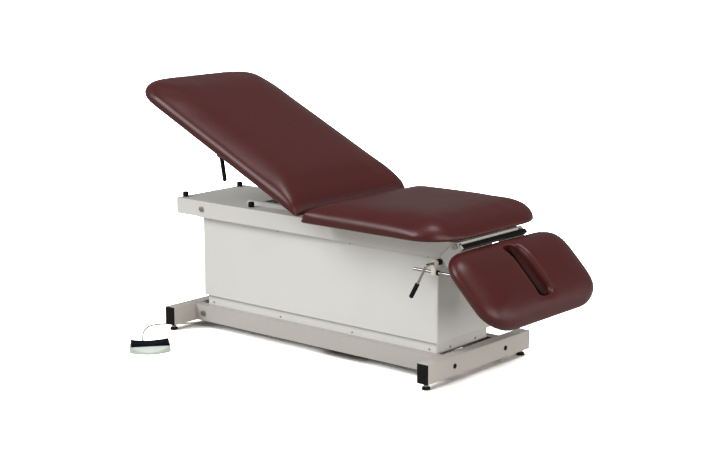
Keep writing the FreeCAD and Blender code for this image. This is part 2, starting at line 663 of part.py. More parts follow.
def support_rail():
    """Near flat rail on the tray that carries the seat."""
    return box((TRAY_OPENING[0] - SUPPORT_LEAD, TRAY_FOOT_X - SUPPORT_SETBACK),
               (-SUPPORT_INNER_Y - SUPPORT_WIDTH, -SUPPORT_INNER_Y), (TRAY_TOP, CUSHION_BOTTOM))


def bumpers():
    """Rubber bumpers that the back section rests on when flat."""
    pieces = []
    for x in BUMPER_X:
        for y in (-BUMPER_Y, BUMPER_Y):
            foot = V(x, y, TRAY_TOP)
            pieces.append(Part.makeCone(BUMPER_RADIUS, BUMPER_TIP_RADIUS, BUMPER_HEIGHT, foot))
    return Part.makeCompound(pieces)


def hinge_pin_y(side):
    """Y span of one back hinge: two bracket plates with an arm between them."""
    inner = SUPPORT_INNER_Y + SUPPORT_WIDTH + HINGE_RAIL_GAP
    span = (inner, inner + 3 * HINGE_ARM_THICKNESS + 2 * HINGE_SLACK)
    if side < 0:
        return (-span[1], -span[0])
    return span


def hinge_plate_x():
    """X span of the hinge's bracket plates and of the tray windows they sit in."""
    return (BACK_AXIS_X - HINGE_PLATE_REACH[0], BACK_AXIS_X + HINGE_PLATE_REACH[1])


def hinge_brackets():
    """Bracket plates in the tray's windows that hold the two back hinge pins."""
    plates = []
    z = (BACK_AXIS_Z - HINGE_PLATE_DROP, BACK_AXIS_Z + HINGE_HUB_RADIUS)
    for side in (-1, 1):
        low, high = hinge_pin_y(side)
        for y in ((low, low + HINGE_ARM_THICKNESS), (high - HINGE_ARM_THICKNESS, high)):
            ear = box(hinge_plate_x(), y, z)
            plates.append(ear.cut(cross_rod(BACK_AXIS_X, BACK_AXIS_Z, y, HINGE_PIN_RADIUS)))
    return Part.makeCompound(plates)


def hinge_pins():
    """Two short pins of the back hinge."""
    return Part.makeCompound([cross_rod(BACK_AXIS_X, BACK_AXIS_Z, hinge_pin_y(side), HINGE_PIN_RADIUS)
                              for side in (-1, 1)])


def flat_back_x():
    """X span of the back section when it lies flat."""
    return (BACK_AXIS_X - BACK_START - BACK_LENGTH, BACK_AXIS_X - BACK_START)


def raised(shape):
    """A piece of the back section, moved from lying flat to its raised place."""
    return turned(shape, BACK_ANGLE, BACK_AXIS_X, BACK_AXIS_Z)


def back_z():
    """Underside of the back section when it lies flat."""
    return CUSHION_BOTTOM + BACK_REST_GAP


def back_corners():
    """Corner radii of the back section at its head and hinge ends."""
    return (BACK_CORNER[1], BACK_CORNER[0])


def hinge_arms():
    """Arms from the back hinge pins, ramping up to run along under the back board."""
    arms = []
    head = BACK_AXIS_X - HINGE_ARM_LENGTH
    ramp = [BACK_AXIS_X - along for along in HINGE_RAMP]
    top = back_z()
    low = BACK_AXIS_Z - HINGE_HUB_RADIUS / 2
    under = top - HINGE_ARM_DEPTH
    outline = [(BACK_AXIS_X, low), (BACK_AXIS_X, BACK_AXIS_Z), (ramp[0], BACK_AXIS_Z), (ramp[1], top),
               (head, top), (head, under), (ramp[1], under), (ramp[0], low)]
    for side in (-1, 1):
        low_y, high_y = hinge_pin_y(side)
        y = (low_y + HINGE_ARM_THICKNESS + HINGE_SLACK, high_y - HINGE_ARM_THICKNESS - HINGE_SLACK)
        arm = plate(outline, y).fuse(cross_rod(BACK_AXIS_X, BACK_AXIS_Z, y, HINGE_HUB_RADIUS))
        arm = arm.cut(cross_rod(BACK_AXIS_X, BACK_AXIS_Z, y, HINGE_PIN_RADIUS + RUNNING_FIT))
        arms.append(raised(arm))
    return Part.makeCompound(arms)


def gas_foot():
    """Lower pin of the gas spring, hung below the tray."""
    return link_point(BACK_AXIS_X, BACK_AXIS_Z, 180 + GAS_SLOPE, GAS_RADIUS)


def gas_eye():
    """Upper pin of the gas spring, on the back section's lug."""
    slope = math.degrees(math.asin(GAS_LUG_DEPTH / GAS_RADIUS))
    return link_point(BACK_AXIS_X, BACK_AXIS_Z, 180 + slope - BACK_ANGLE, GAS_RADIUS)


def gas_bracket():
    """Strap hung under the tray for the gas spring's lower pin."""
    x, z = gas_foot()
    inner = GAS_TUBE + GAS_SIDE_GAP
    outer = inner + LUG_THICKNESS
    strap_x = (x + GAS_STRAP_X[0], x + GAS_STRAP_X[1])
    straps = []
    for y in ((GAS_Y - outer, GAS_Y - inner), (GAS_Y + inner, GAS_Y + outer)):
        strap = box(strap_x, y, (z - GAS_TOE, TRAY_TOP - SHEET))
        toe = box((x - GAS_TOE, strap_x[1]), y, (z - GAS_TOE, z + GAS_TOE))
        straps.append(strap.fuse(toe))
    hanger = box((strap_x[0], TRAY_OPENING[1] + GAS_HANGER_LAP), (GAS_Y - outer, GAS_Y + outer),
                 (TRAY_TOP - 2 * SHEET, TRAY_TOP - SHEET))
    whole = straps[0].fuse([straps[1], hanger])
    return whole.cut(cross_rod(x, z, (GAS_Y - outer, GAS_Y + outer), GAS_PIN))


def gas_pin(place, reach):
    """Pin through one end of the gas spring."""
    return cross_rod(place[0], place[1], (GAS_Y - reach, GAS_Y + reach), GAS_PIN)


def gas_axis():
    """Lower pin, upper pin and unit direction of the gas spring."""
    foot = V(gas_foot()[0], GAS_Y, gas_foot()[1])
    eye = V(gas_eye()[0], GAS_Y, gas_eye()[1])
    way = eye - foot
    way.normalize()
    return foot, eye, way


def gas_cylinder():
    """Gas spring cylinder with its lower eye."""
    foot, eye, way = gas_axis()
    tube = Part.makeCylinder(GAS_TUBE, GAS_MOUTH - 14, foot + way * 14, way)
    bore = Part.makeCylinder(GAS_ROD + LUG_GAP, GAS_MOUTH, foot + way * 18, way)
    ring = Part.makeCylinder(2.2 * GAS_PIN, 2 * GAS_TUBE, foot - V(0, GAS_TUBE, 0), V(0, 1, 0))
    neck = Part.makeCylinder(1.6 * GAS_PIN, 16, foot, way)
    body = tube.fuse([neck, ring]).cut(bore)
    return body.cut(Part.makeCylinder(GAS_PIN + RUNNING_FIT, 60, foot - V(0, 30, 0), V(0, 1, 0)))


def gas_rod():
    """Gas spring rod with its upper eye."""
    foot, eye, way = gas_axis()
    shortest = 2 * GAS_RADIUS * math.sin(math.radians(GAS_SLOPE / 2 - 2))
    length = shortest - 22.0
    stem = Part.makeCylinder(GAS_ROD, length, eye - way * length, way)
    ring = Part.makeCylinder(2.2 * GAS_PIN, 2 * GAS_TUBE, eye - V(0, GAS_TUBE, 0), V(0, 1, 0))
    return stem.fuse(ring).cut(Part.makeCylinder(GAS_PIN + RUNNING_FIT, 60, eye - V(0, 30, 0), V(0, 1, 0)))


def gas_lug():
    """Pair of ears under the back board for the gas spring's upper pin."""
    flat_eye = (BACK_AXIS_X - math.sqrt(GAS_RADIUS ** 2 - GAS_LUG_DEPTH ** 2), BACK_AXIS_Z - GAS_LUG_DEPTH)
    inner = GAS_TUBE + 0.5
    ears = []
    for y in ((GAS_Y - inner - LUG_THICKNESS, GAS_Y - inner), (GAS_Y + inner, GAS_Y + inner + LUG_THICKNESS)):
        ears.append(box((flat_eye[0] - 14, flat_eye[0] + 14), y, (flat_eye[1] - 10, back_z())))
    lug = Part.makeCompound(ears).cut(cross_rod(flat_eye[0], flat_eye[1], (GAS_Y - 40, GAS_Y + 40), GAS_PIN))
    return raised(lug)


def lever_pivot():
    """Pivot of the release lever under the raised back section."""
    flat = V(BACK_AXIS_X - LEVER_ALONG, LEVER_Y, back_z() - LEVER_PIVOT_DEPTH)
    spin = FreeCAD.Rotation(V(0, 1, 0), BACK_ANGLE)
    centre = V(BACK_AXIS_X, LEVER_Y, BACK_AXIS_Z)
    return centre + spin.multVec(flat - centre)


def lever_bracket():
    """Ears and pin under the back board that hold the release lever."""
    x = BACK_AXIS_X - LEVER_ALONG
    z = back_z() - LEVER_PIVOT_DEPTH
    inner = LEVER_RADIUS + 0.5
    ear = box((x - 12, x + 12), (LEVER_Y - inner - 4, LEVER_Y - inner), (z - 10, back_z()))
    twin = box((x - 12, x + 12), (LEVER_Y + inner, LEVER_Y + inner + 4), (z - 10, back_z()))
    pin = cross_rod(x, z, (LEVER_Y - inner - 4, LEVER_Y + inner + 4), 4.0)
    return raised(ear.fuse([twin, pin]))


def release_lever():
    """Black hand lever that frees the gas spring."""
    top = lever_pivot()
    lean = math.radians(LEVER_LEAN)
    way = V(math.sin(lean), 0, -math.cos(lean))
    grip = Part.makeCylinder(LEVER_RADIUS, LEVER_LENGTH, top, way)
    ball = Part.makeSphere(LEVER_RADIUS, top + way * LEVER_LENGTH)
    head = Part.makeCylinder(LEVER_RADIUS, 2 * LEVER_RADIUS, top - V(0, LEVER_RADIUS, 0), V(0, 1, 0))
    bore = Part.makeCylinder(4.0 + RUNNING_FIT, 60, top - V(0, 30, 0), V(0, 1, 0))
    return grip.fuse([ball, head]).cut(bore)


def dropped(shape):
    """A piece of the drop section, moved from lying level to its dropped place."""
    return turned(shape, DROP_ANGLE, DROP_AXIS[0], DROP_AXIS[1])


def drop_x():
    """X span of the drop cushion when it lies level."""
    return (DROP_AXIS[0] + DROP_SPAN[0], DROP_AXIS[0] + DROP_SPAN[1])


def slot_tool(z, rise):
    """Face slot with rounded ends and a flared mouth."""
    x = (DROP_AXIS[0] + SLOT_SPAN[0], DROP_AXIS[0] + SLOT_SPAN[1])
    half = SLOT_WIDTH / 2
    corner = half - 1
    sections = [(z - 1, 0.0), (z + rise * 0.72, 0.0), (z + rise * 0.88, -0.35 * SLOT_FLARE),
                (z + rise + 1, -SLOT_FLARE)]
    wires = [rounded_outline(x, half, height, (corner, corner), inset) for height, inset in sections]
    return Part.makeLoft(wires, True, True)


def drop_cushion():
    """Drop section cushion with its face slot."""
    z = DROP_AXIS[1]
    pad = cushion(drop_x(), CUSHION_HALF_WIDTH, z, DROP_EDGE, DROP_CROWN, DROP_CORNER)
    return dropped(pad.cut(slot_tool(z, DROP_EDGE + DROP_CROWN)))


def drop_board():
    """Board of the drop section, cut through by the face slot."""
    z = DROP_AXIS[1]
    flat = board(drop_x(), CUSHION_HALF_WIDTH, z, DROP_CORNER)
    return dropped(flat.cut(slot_tool(z, DROP_EDGE + DROP_CROWN)))


def drop_arm():
    """Near side arm of the drop section, with its pivot hole and top flange."""
    x = DROP_AXIS[0]
    z = DROP_AXIS[1]
    y = (NEAR_ARM_FACE - DROP_ARM_THICKNESS, NEAR_ARM_FACE)
    low = z - DROP_ARM_DEPTH
    outline = [(x + DROP_ARM_SPAN[0], z), (x + DROP_ARM_SPAN[0], low), (x + DROP_ARM_TAPER[0], low),
               (x + DROP_ARM_SPAN[1], z - DROP_ARM_TAPER[1]), (x + DROP_ARM_SPAN[1], z)]
    web = plate(outline, y)
    nose = Part.makeCylinder(-DROP_ARM_SPAN[0], DROP_ARM_THICKNESS, V(x, y[0], z), V(0, 1, 0))
    flange_x = x + DROP_SPAN[0] + BOARD_INSET + DROP_CORNER[0]
    flange = box((flange_x, x + DROP_ARM_SPAN[1]), (y[1], y[1] + DROP_FLANGE), (z - DROP_ARM_THICKNESS, z))
    lug = box(drop_bar_x(), y, (z, z + DROP_BAR_RISE + DROP_BAR_SIDE))
    arm = web.fuse([nose, flange, lug])
    return dropped(arm.cut(cross_rod(x, z, (y[0] - 1, y[1] + 1), DROP_BOLT_RADIUS + RUNNING_FIT)))


def drop_bar_x():
    """X span of the cross bar when the drop section lies level."""
    x = DROP_AXIS[0] + DROP_BAR_ALONG
    return (x, x + DROP_BAR_SIDE)


def drop_bar():
    """Black cross bar between the two side arms, just past the pivots."""
    z = DROP_AXIS[1] + DROP_BAR_RISE
    return dropped(box(drop_bar_x(), (NEAR_ARM_FACE, -NEAR_ARM_FACE), (z, z + DROP_BAR_SIDE)))


def drop_bolts():
    """Pivot bolts of the drop section, held in the tray's sides."""
    x, z = DROP_AXIS
    outside = NEAR_ARM_FACE - DROP_ARM_THICKNESS - DROP_ARM_GAP
    shank = cross_rod(x, z, (outside, -HALF_FRAME + SHEET), DROP_BOLT_RADIUS)
    head = cross_rod(x, z, (outside - DROP_BOLT_HEAD[1], outside), DROP_BOLT_HEAD[0])
    inside = -HALF_FRAME + SHEET
    nut = cross_rod(x, z, (inside, inside + DROP_NUT[1]), DROP_NUT[0])
    return both_sides(shank.fuse([head, nut]))


def lock_stud():
    """Stud on the near arm that carries the lock rod's end."""
    y = NEAR_ARM_FACE - DROP_ARM_THICKNESS
    stud = cross_rod(LOCK_ROD_ANCHOR_X, ROD_Z, (LOCK_ROD_Y - LOCK_EYE_HALF - 3, y), LOCK_STUD_RADIUS)
    collar = cross_rod(LOCK_ROD_ANCHOR_X, ROD_Z, (LOCK_ROD_Y + LOCK_EYE_HALF + LUG_GAP, y), LOCK_EYE_RADIUS)
    return stud.fuse(collar)


def lock_rod():
    """Chrome rod that the clamp grips, with an eye on the stud."""
    y = LOCK_ROD_Y
    stem = rod((LOCK_ROD_TAIL_X, y, ROD_Z), (LOCK_ROD_ANCHOR_X, y, ROD_Z), LOCK_ROD_RADIUS)
    across = (y - LOCK_EYE_HALF, y + LOCK_EYE_HALF)
    eye = cross_rod(LOCK_ROD_ANCHOR_X, ROD_Z, across, LOCK_EYE_RADIUS)
    bore = cross_rod(LOCK_ROD_ANCHOR_X, ROD_Z, across, LOCK_STUD_RADIUS + RUNNING_FIT)
    return stem.fuse(eye).cut(bore)


def clamp_block():
    """Swivelling block on the clamp shaft, bored for the lock rod."""
    half = CLAMP_BLOCK_WIDTH / 2
    body = box((HUB[0] - half, HUB[0] + half), CLAMP_BLOCK_Y, (ROD_Z - half, HUB[1]))
    top = cross_rod(HUB[0], HUB[1], CLAMP_BLOCK_Y, half)
    body = body.fuse(top)
    body = body.cut(cross_rod(*HUB, CLAMP_BLOCK_Y, HUB_SHAFT_RADIUS + RUNNING_FIT))
    ends = [(HUB[0] + side * half, LOCK_ROD_Y, ROD_Z) for side in (-1, 1)]
    return body.cut(rod(*ends, LOCK_ROD_RADIUS + LOCK_ROD_PLAY))


def clamp_bush():
    """Black bush round the rod on the clamp block's foot-end face."""
    face = HUB[0] + CLAMP_BLOCK_WIDTH / 2
    ends = [(x, LOCK_ROD_Y, ROD_Z) for x in (face, face + BUSH_LENGTH)]
    return pipe(*ends, BUSH_RADIUS, LOCK_ROD_RADIUS + LOCK_ROD_PLAY)


def clamp_washer():
    """Black washer between the tray's ear and the clamp block."""
    y = (CLAMP_BLOCK_Y[1] + 0.3, -HALF_FRAME)
    ring = cross_rod(HUB[0], HUB[1], y, HUB_WASHER_RADIUS)
    return ring.cut(cross_rod(HUB[0], HUB[1], (y[0] - 1, y[1] + 1), HUB_SHAFT_RADIUS + RUNNING_FIT))


def clamp_grip_line():
    """Knee and end of the clamp lever's handle."""
    lean = math.radians(CLAMP_LEVER_LEAN)
    way = V(-math.sin(lean), 0, -math.cos(lean))
    knee = V(HUB[0], CLAMP_LEVER_Y, HUB[1])
    return knee, way


def clamp_lever():
    """Bent chrome lever whose shaft tightens the clamp block."""
    knee, way = clamp_grip_line()
    inner = -HALF_FRAME + SHEET + 6
    shaft = cross_rod(HUB[0], HUB[1], (CLAMP_BLOCK_Y[0] - 0.3, inner), HUB_SHAFT_RADIUS)
    stop = cross_rod(HUB[0], HUB[1], (CLAMP_BLOCK_Y[0] - 5.3, CLAMP_BLOCK_Y[0] - 0.3), HUB_SHAFT_RADIUS + 4)
    neck = cross_rod(HUB[0], HUB[1], (CLAMP_LEVER_Y, CLAMP_BLOCK_Y[0] - 5), CLAMP_LEVER_ROD)
    nut = cross_rod(HUB[0], HUB[1], (-HALF_FRAME + SHEET + 0.3, inner), HUB_SHAFT_RADIUS + 3)
    handle = Part.makeCylinder(CLAMP_LEVER_ROD, CLAMP_LEVER_LENGTH, knee, way)
    bend = Part.makeSphere(CLAMP_LEVER_ROD, knee)
    return shaft.fuse([stop, neck, nut, handle, bend])


def clamp_grip():
    """Black sleeve on the end of the clamp lever."""
    knee, way = clamp_grip_line()
    start = knee + way * (CLAMP_LEVER_LENGTH - CLAMP_GRIP_LENGTH + 6)
    sleeve = Part.makeCylinder(CLAMP_GRIP_RADIUS, CLAMP_GRIP_LENGTH, start, way)
    sleeve = sleeve.makeFillet(3.0, sleeve.Edges[0:1] + sleeve.Edges[2:3])
    return sleeve.cut(Part.makeCylinder(CLAMP_LEVER_ROD, CLAMP_LEVER_LENGTH, knee, way))


def control_box():
    """Box on the base for the lift's electronics."""
    z = (CHANNEL_BOTTOM, CHANNEL_BOTTOM + BOX_HEIGHT)
    return box(BOX_X, (-BOX_HALF_WIDTH, BOX_HALF_WIDTH), z)


def control_pan():
    """Pan under the side channels that carries the control box."""
    half = HALF_FRAME - CHANNEL_DEPTH / 2
    return box((BOX_X[0], BOX_X[1] + PAN_LIP), (-half, half), (CHANNEL_BOTTOM - SHEET, CHANNEL_BOTTOM))


def mains_inlet():
    """Appliance inlet on the far face of the control box."""
    x = (BOX_X[0] + BOX_X[1]) / 2
    z = CHANNEL_BOTTOM + BOX_HEIGHT / 2
    half_w = INLET_SIZE[0] / 2
    half_h = INLET_SIZE[1] / 2
    floor = BOX_HALF_WIDTH + INLET_WALL
    y = (BOX_HALF_WIDTH, BOX_HALF_WIDTH + INLET_DEPTH)
    shell = box((x - half_w, x + half_w), y, (z - half_h, z + half_h))
    hollow = box((x - half_w + INLET_WALL, x + half_w - INLET_WALL), (floor, y[1]),
                 (z - half_h + INLET_WALL, z + half_h - INLET_WALL))
    pins = [box((x + step - 1, x + step + 1), (floor, y[1] - 1), (z - 3, z + 3))
            for step in (-INLET_PIN_PITCH, 0, INLET_PIN_PITCH)]
    return shell.cut(hollow).fuse(pins)


def cord_points():
    """Route of the pedal cord: gland, floor under the table, and the pedal's strain relief."""
    z = CORD_RADIUS
    gland = BOX_X[0]
    return [V(gland - 12, -30, 31), V(gland - 32, -32, 18), V(gland - 59, -36, 7), V(-56, -42, z),
            V(-112, -49, z), V(-182, -54, z), V(-262, -63, z), V(-345, -70, z), V(-432, -82, z),
            V(-515, -98, z), V(-586, -120, z), V(-640, -148, z), V(-680, -182, z), V(-708, -218, z),
            V(-736, -250, z), V(-763, -278, z), V(-784, -308, z), V(-789, -338, z), V(-777, -372, z), V(-749, -413, z), V(-712, -453, z),
            V(-670, -493, z), V(-634, -526, z), V(-600, -555, 7.0), *pedal_cord_end()]


def cord():
    """Pedal cord as straight runs joined by arcs as large as the runs allow."""
    points = cord_points()
    edges = []
    last = points[0]
    radii = []
    for before, here, after in zip(points, points[1:], points[2:]):
        into = here - before
        out = after - here
        turn = into.getAngle(out)
        cut = 0.45 * min(into.Length, out.Length)
        radii.append(cut / math.tan(turn / 2))
        into.normalize()
        out.normalize()
        start = here - into * cut
        end = here + out * cut
        bisector = out - into
        bisector.normalize()
        reach = radii[-1] / math.cos(turn / 2) - radii[-1]
        edges.append(Part.LineSegment(last, start).toShape())
        edges.append(Part.Arc(start, here + bisector * reach, end).toShape())
        last = end
    edges.append(Part.LineSegment(last, points[-1]).toShape())
    path = Part.Wire(edges)
    first = points[1] - points[0]
    ring = Part.Wire(Part.makeCircle(CORD_RADIUS, points[0], first))
    tube = path.makePipeShell([ring], True, False)
    print("cord length", round(path.Length, 1), "least radius", round(min(radii), 1),
          "volume share", round(tube.Volume / (math.pi * CORD_RADIUS ** 2 * path.Length), 5))
    return tube


def cord_gland():
    """Gland on the control box where the pedal cord comes out."""
    points = cord_points()
    way = points[0] - points[1]
    way.normalize()
    sleeve = Part.makeCylinder(RELIEF_RADIUS, 2 * RELIEF_LENGTH, points[0], way)
    beside = box((BOX_X[0] - BOX_HEIGHT, BOX_X[0]), (-BOX_HALF_WIDTH, BOX_HALF_WIDTH), (0, CHANNEL_TOP))
    return sleeve.common(beside)


def on_pedal(shape):
    """A piece of the foot control, moved from its own frame to its place on the floor."""
    copy = shape.copy()
    copy.rotate(V(0, 0, 0), V(0, 0, 1), PEDAL_TURN)
    copy.translate(V(PEDAL_CENTRE[0], PEDAL_CENTRE[1], 0))
    return copy


def pedal_outline(length, depth, z):
    """D-shaped outline: bowed front, straight rear, rounded rear corners."""
    half = length / 2
    rear = depth / 2
    corner = 14.0
    k = corner * (1 - math.sqrt(0.5))
    side_front = -depth * 0.12
    points = {"rear_left": V(-half + corner, rear, z), "rear_right": V(half - corner, rear, z)}
    right = Part.Arc(points["rear_right"], V(half - k, rear - k, z), V(half, rear - corner, z)).toShape()
    front = Part.Arc(V(half, side_front, z), V(0, -rear, z), V(-half, side_front, z)).toShape()
    left = Part.Arc(V(-half, rear - corner, z), V(-half + k, rear - k, z), points["rear_left"]).toShape()
    edges = [Part.LineSegment(points["rear_left"], points["rear_right"]).toShape(), right,
             Part.LineSegment(V(half, rear - corner, z), V(half, side_front, z)).toShape(), front,
             Part.LineSegment(V(-half, side_front, z), V(-half, rear - corner, z)).toShape(), left]
    return Part.Wire(edges)


def pedal_base():
    """White wedge-shaped body of the foot control with a bay for the rocker."""
    body = Part.Face(pedal_outline(PEDAL_LENGTH, PEDAL_DEPTH, 0)).extrude(V(0, 0, PEDAL_BACK))
    slope = math.degrees(math.atan2(PEDAL_BACK - PEDAL_EDGE, PEDAL_DEPTH))
    wedge = box((-200, 200), (-200, 200), (0, 100))
    wedge.rotate(V(0, 0, 0), V(1, 0, 0), slope)
    wedge.translate(V(0, -PEDAL_DEPTH / 2, PEDAL_EDGE))
    body = body.cut(wedge)
    bay = box((-ROCKER_LENGTH / 2 - 2, ROCKER_LENGTH / 2 + 2), (-ROCKER_DEPTH / 2 + 12, 100), (6, 100))
    lug = box((-6, 6), (ROCKER_DEPTH / 2 - 14, ROCKER_DEPTH / 2 - 8), (6, rocker_z() + 5))
    lug_front = box((-6, 6), (-ROCKER_DEPTH / 2 + 12, -ROCKER_DEPTH / 2 + 17), (6, rocker_z() + 5))
    rear = box((RELIEF_X - 14, RELIEF_X + 14), (PEDAL_DEPTH / 2 - 6, PEDAL_DEPTH / 2), (5, 18))
    body = body.cut(bay).fuse([lug, lug_front, rear])
    return on_pedal(body.cut(rod((0, -30, rocker_z()), (0, 60, rocker_z()), ROCKER_PIN_RADIUS)))


def rocker_z():
    """Height of the rocker's pin."""
    return PEDAL_BACK - 7.0


def pedal_rocker():
    """Dark two-lobed rocker plate on the foot control."""
    half = ROCKER_LENGTH / 2
    z = PEDAL_BACK + ROCKER_GAP
    front = -ROCKER_DEPTH / 2 + 6
    rear = PEDAL_DEPTH / 2 + 3
    under = z - ROCKER_GAP - 1
    profile = [V(-half, front, under + 3), V(half, front, under + 3)]
    top_left = V(-half, front, z + ROCKER_RISE * 0.6)
    top_right = V(half, front, z + ROCKER_RISE * 0.6)
    dip = V(0, front, z + ROCKER_RISE * 0.6 - ROCKER_DIP)
    edges = [Part.LineSegment(profile[0], profile[1]).toShape(),
             Part.LineSegment(profile[1], top_right).toShape(), Part.Arc(top_right, dip, top_left).toShape(),
             Part.LineSegment(top_left, profile[0]).toShape()]
    slab = Part.Face(Part.Wire(edges)).extrude(V(0, rear - front, 0))
    uprights = [e for e in slab.Edges if e.BoundBox.ZLength > 5 and e.BoundBox.XLength < 0.1
                and e.BoundBox.YLength < 0.1]
    slab = slab.makeFillet(12.0, uprights)
    boss = box((-8, 8), (-ROCKER_DEPTH / 2 + 18, ROCKER_DEPTH / 2 - 15), (rocker_z() - 5, z + 2))
    relief = box((-7, 7), (ROCKER_DEPTH / 2 - 15, ROCKER_DEPTH / 2 - 7), (0, rocker_z() + 6))
    relief_front = box((-7, 7), (front - 1, -ROCKER_DEPTH / 2 + 18), (0, rocker_z() + 6))
    body = slab.fuse(boss).cut(relief).cut(relief_front)
    bore = rod((0, -40, rocker_z()), (0, 60, rocker_z()), ROCKER_PIN_RADIUS + RUNNING_FIT)
    return on_pedal(body.cut(bore))


def rocker_pin():
    """Pin that the rocker tips on."""
    z = rocker_z()
    return on_pedal(rod((0, -ROCKER_DEPTH / 2 + 12, z), (0, ROCKER_DEPTH / 2 - 8, z), ROCKER_PIN_RADIUS))


def strain_relief():
    """Sleeve where the cord enters the rear of the foot control."""
    face = PEDAL_DEPTH / 2
    ends = [(RELIEF_X, y, RELIEF_Z) for y in (face, face + RELIEF_LENGTH)]
    return on_pedal(rod(*ends, RELIEF_RADIUS))


def pedal_cord_end():
    """Point where the cord leaves the strain relief, and a point straight behind it."""
    turn = FreeCAD.Rotation(V(0, 0, 1), PEDAL_TURN)
    centre = V(PEDAL_CENTRE[0], PEDAL_CENTRE[1], 0)
    mouth = V(RELIEF_X, PEDAL_DEPTH / 2 + RELIEF_LENGTH, RELIEF_Z)
    behind = mouth + V(0, 24.0, 0)
    return centre + turn.multVec(behind), centre + turn.multVec(mouth)


def pads():
    """Seat and back cushions with their boards."""
    seat = (SEAT_X, CUSHION_HALF_WIDTH, CUSHION_BOTTOM)
    back = (flat_back_x(), CUSHION_HALF_WIDTH, back_z())
    return {
        "seat_cushion": cushion(*seat, SEAT_EDGE, SEAT_CROWN, SEAT_CORNER),
        "seat_board": board(*seat, SEAT_CORNER),
        "back_cushion": raised(cushion(*back, BACK_EDGE, BACK_CROWN, back_corners())),
        "back_board": raised(board(*back, back_corners())),
        "drop_cushion": drop_cushion(),
        "drop_board": drop_board(),
    }


def base_nodes():
    """Pieces that stay with the base on the floor."""
    nodes = {
        "end_rail_head": end_rail(-1), "end_rail_foot": end_rail(1), "rail_end_caps": end_caps(),
        "rail_plugs": rail_plugs(), "side_channels": both_sides(side_channel()),
        "skirt": cover(SKIRT_LENGTH, SKIRT_WIDTH, (CHANNEL_TOP - SHEET, SKIRT_TOP)),
        "skirt_screws": screw_row(SKIRT_LENGTH, SKIRT_WIDTH, CHANNEL_TOP + SCREW_EDGE),
        "base_member": Part.makeCompound([base_member(), actuator_base_pin()]),
        "base_pivot_bolts": pivot_bolts(LOWER_PIVOT_Z, OUTER_ARM_Y),
        "control_box": control_box(), "control_pan": control_pan(), "mains_inlet": mains_inlet(),
        "cord_gland": cord_gland(), "pedal_cord": cord(), "strain_relief": strain_relief(),
        "pedal_base": Part.makeCompound([pedal_base(), rocker_pin()]), "pedal_rocker": pedal_rocker(),
    }
    for side, end_name in ((-1, "head"), (1, "foot")):
        for end, side_name in ((-1, "near"), (1, "far")):
            nodes["levelling_foot_" + end_name + "_" + side_name] = levelling_foot(side, end)
    return nodes


def lift_nodes():
    """Scissor arms and actuator."""
    outer_shoe = OUTER_ARM_Y + ARM_THICKNESS / 2 + SHOE_SETBACK
    inner_shoe = HALF_FRAME - CHANNEL_DEPTH + SHOE_SETBACK
    return {
        "outer_arms": Part.makeCompound([outer_arms(), actuator_rod_pin()]), "inner_arms": inner_arms(),
        "outer_shoes": slide_shoes(UPPER_PIVOT_Z, OUTER_ARM_Y, outer_shoe, HALF_FRAME - 2 * SHEET),
        "inner_shoes": slide_shoes(LOWER_PIVOT_Z, INNER_ARM_Y, inner_shoe, HALF_FRAME - SHEET),
        "actuator_body": actuator_body(), "actuator_rod": actuator_rod(),
    }


def top_nodes():
    """Top tray, shroud and what is fixed to them."""
    return {
        "top_tray": tray(), "shoe_tracks": shoe_tracks(),
        "shroud": shroud(),
        "shroud_screws": screw_row(SHROUD_LENGTH, SHROUD_WIDTH, TRAY_BOTTOM - SCREW_EDGE),
        "top_pivot_bolts": pivot_bolts(UPPER_PIVOT_Z, INNER_ARM_Y),
        "support_rails": both_sides(support_rail()), "bumpers": bumpers(),
        "back_hinge_brackets": hinge_brackets(), "back_hinge_pins": hinge_pins(),
        "gas_spring_bracket": Part.makeCompound([gas_bracket(), gas_pin(gas_foot(), GAS_TUBE + 7)]),
        "drop_pivot_bolts": drop_bolts(), "clamp_washer": clamp_washer(),
    }


def moving_nodes():
    """Back section, drop section and their links."""
    return {
        "back_hinge_arms": hinge_arms(),
        "gas_spring_lug": Part.makeCompound([gas_lug(), gas_pin(gas_eye(), GAS_TUBE + 6.5)]),
        "gas_spring_cylinder": gas_cylinder(), "gas_spring_rod": gas_rod(),
        "release_bracket": lever_bracket(), "release_lever": release_lever(),
        "drop_arms": both_sides(drop_arm()), "drop_cross_bar": drop_bar(),
        "lock_stud": lock_stud(), "lock_rod": lock_rod(), "clamp_block": clamp_block(),
        "clamp_bush": clamp_bush(), "clamp_lever": clamp_lever(), "clamp_grip": clamp_grip(),
    }


def main():
    os.makedirs("parts", exist_ok=True)
    for group in (base_nodes(), lift_nodes(), top_nodes(), moving_nodes(), pads()):
        for name, shape in group.items():
            shape.exportStep(os.path.join("parts", name + ".step"))
            if not shape.isValid():
                print("not valid:", name)


main()
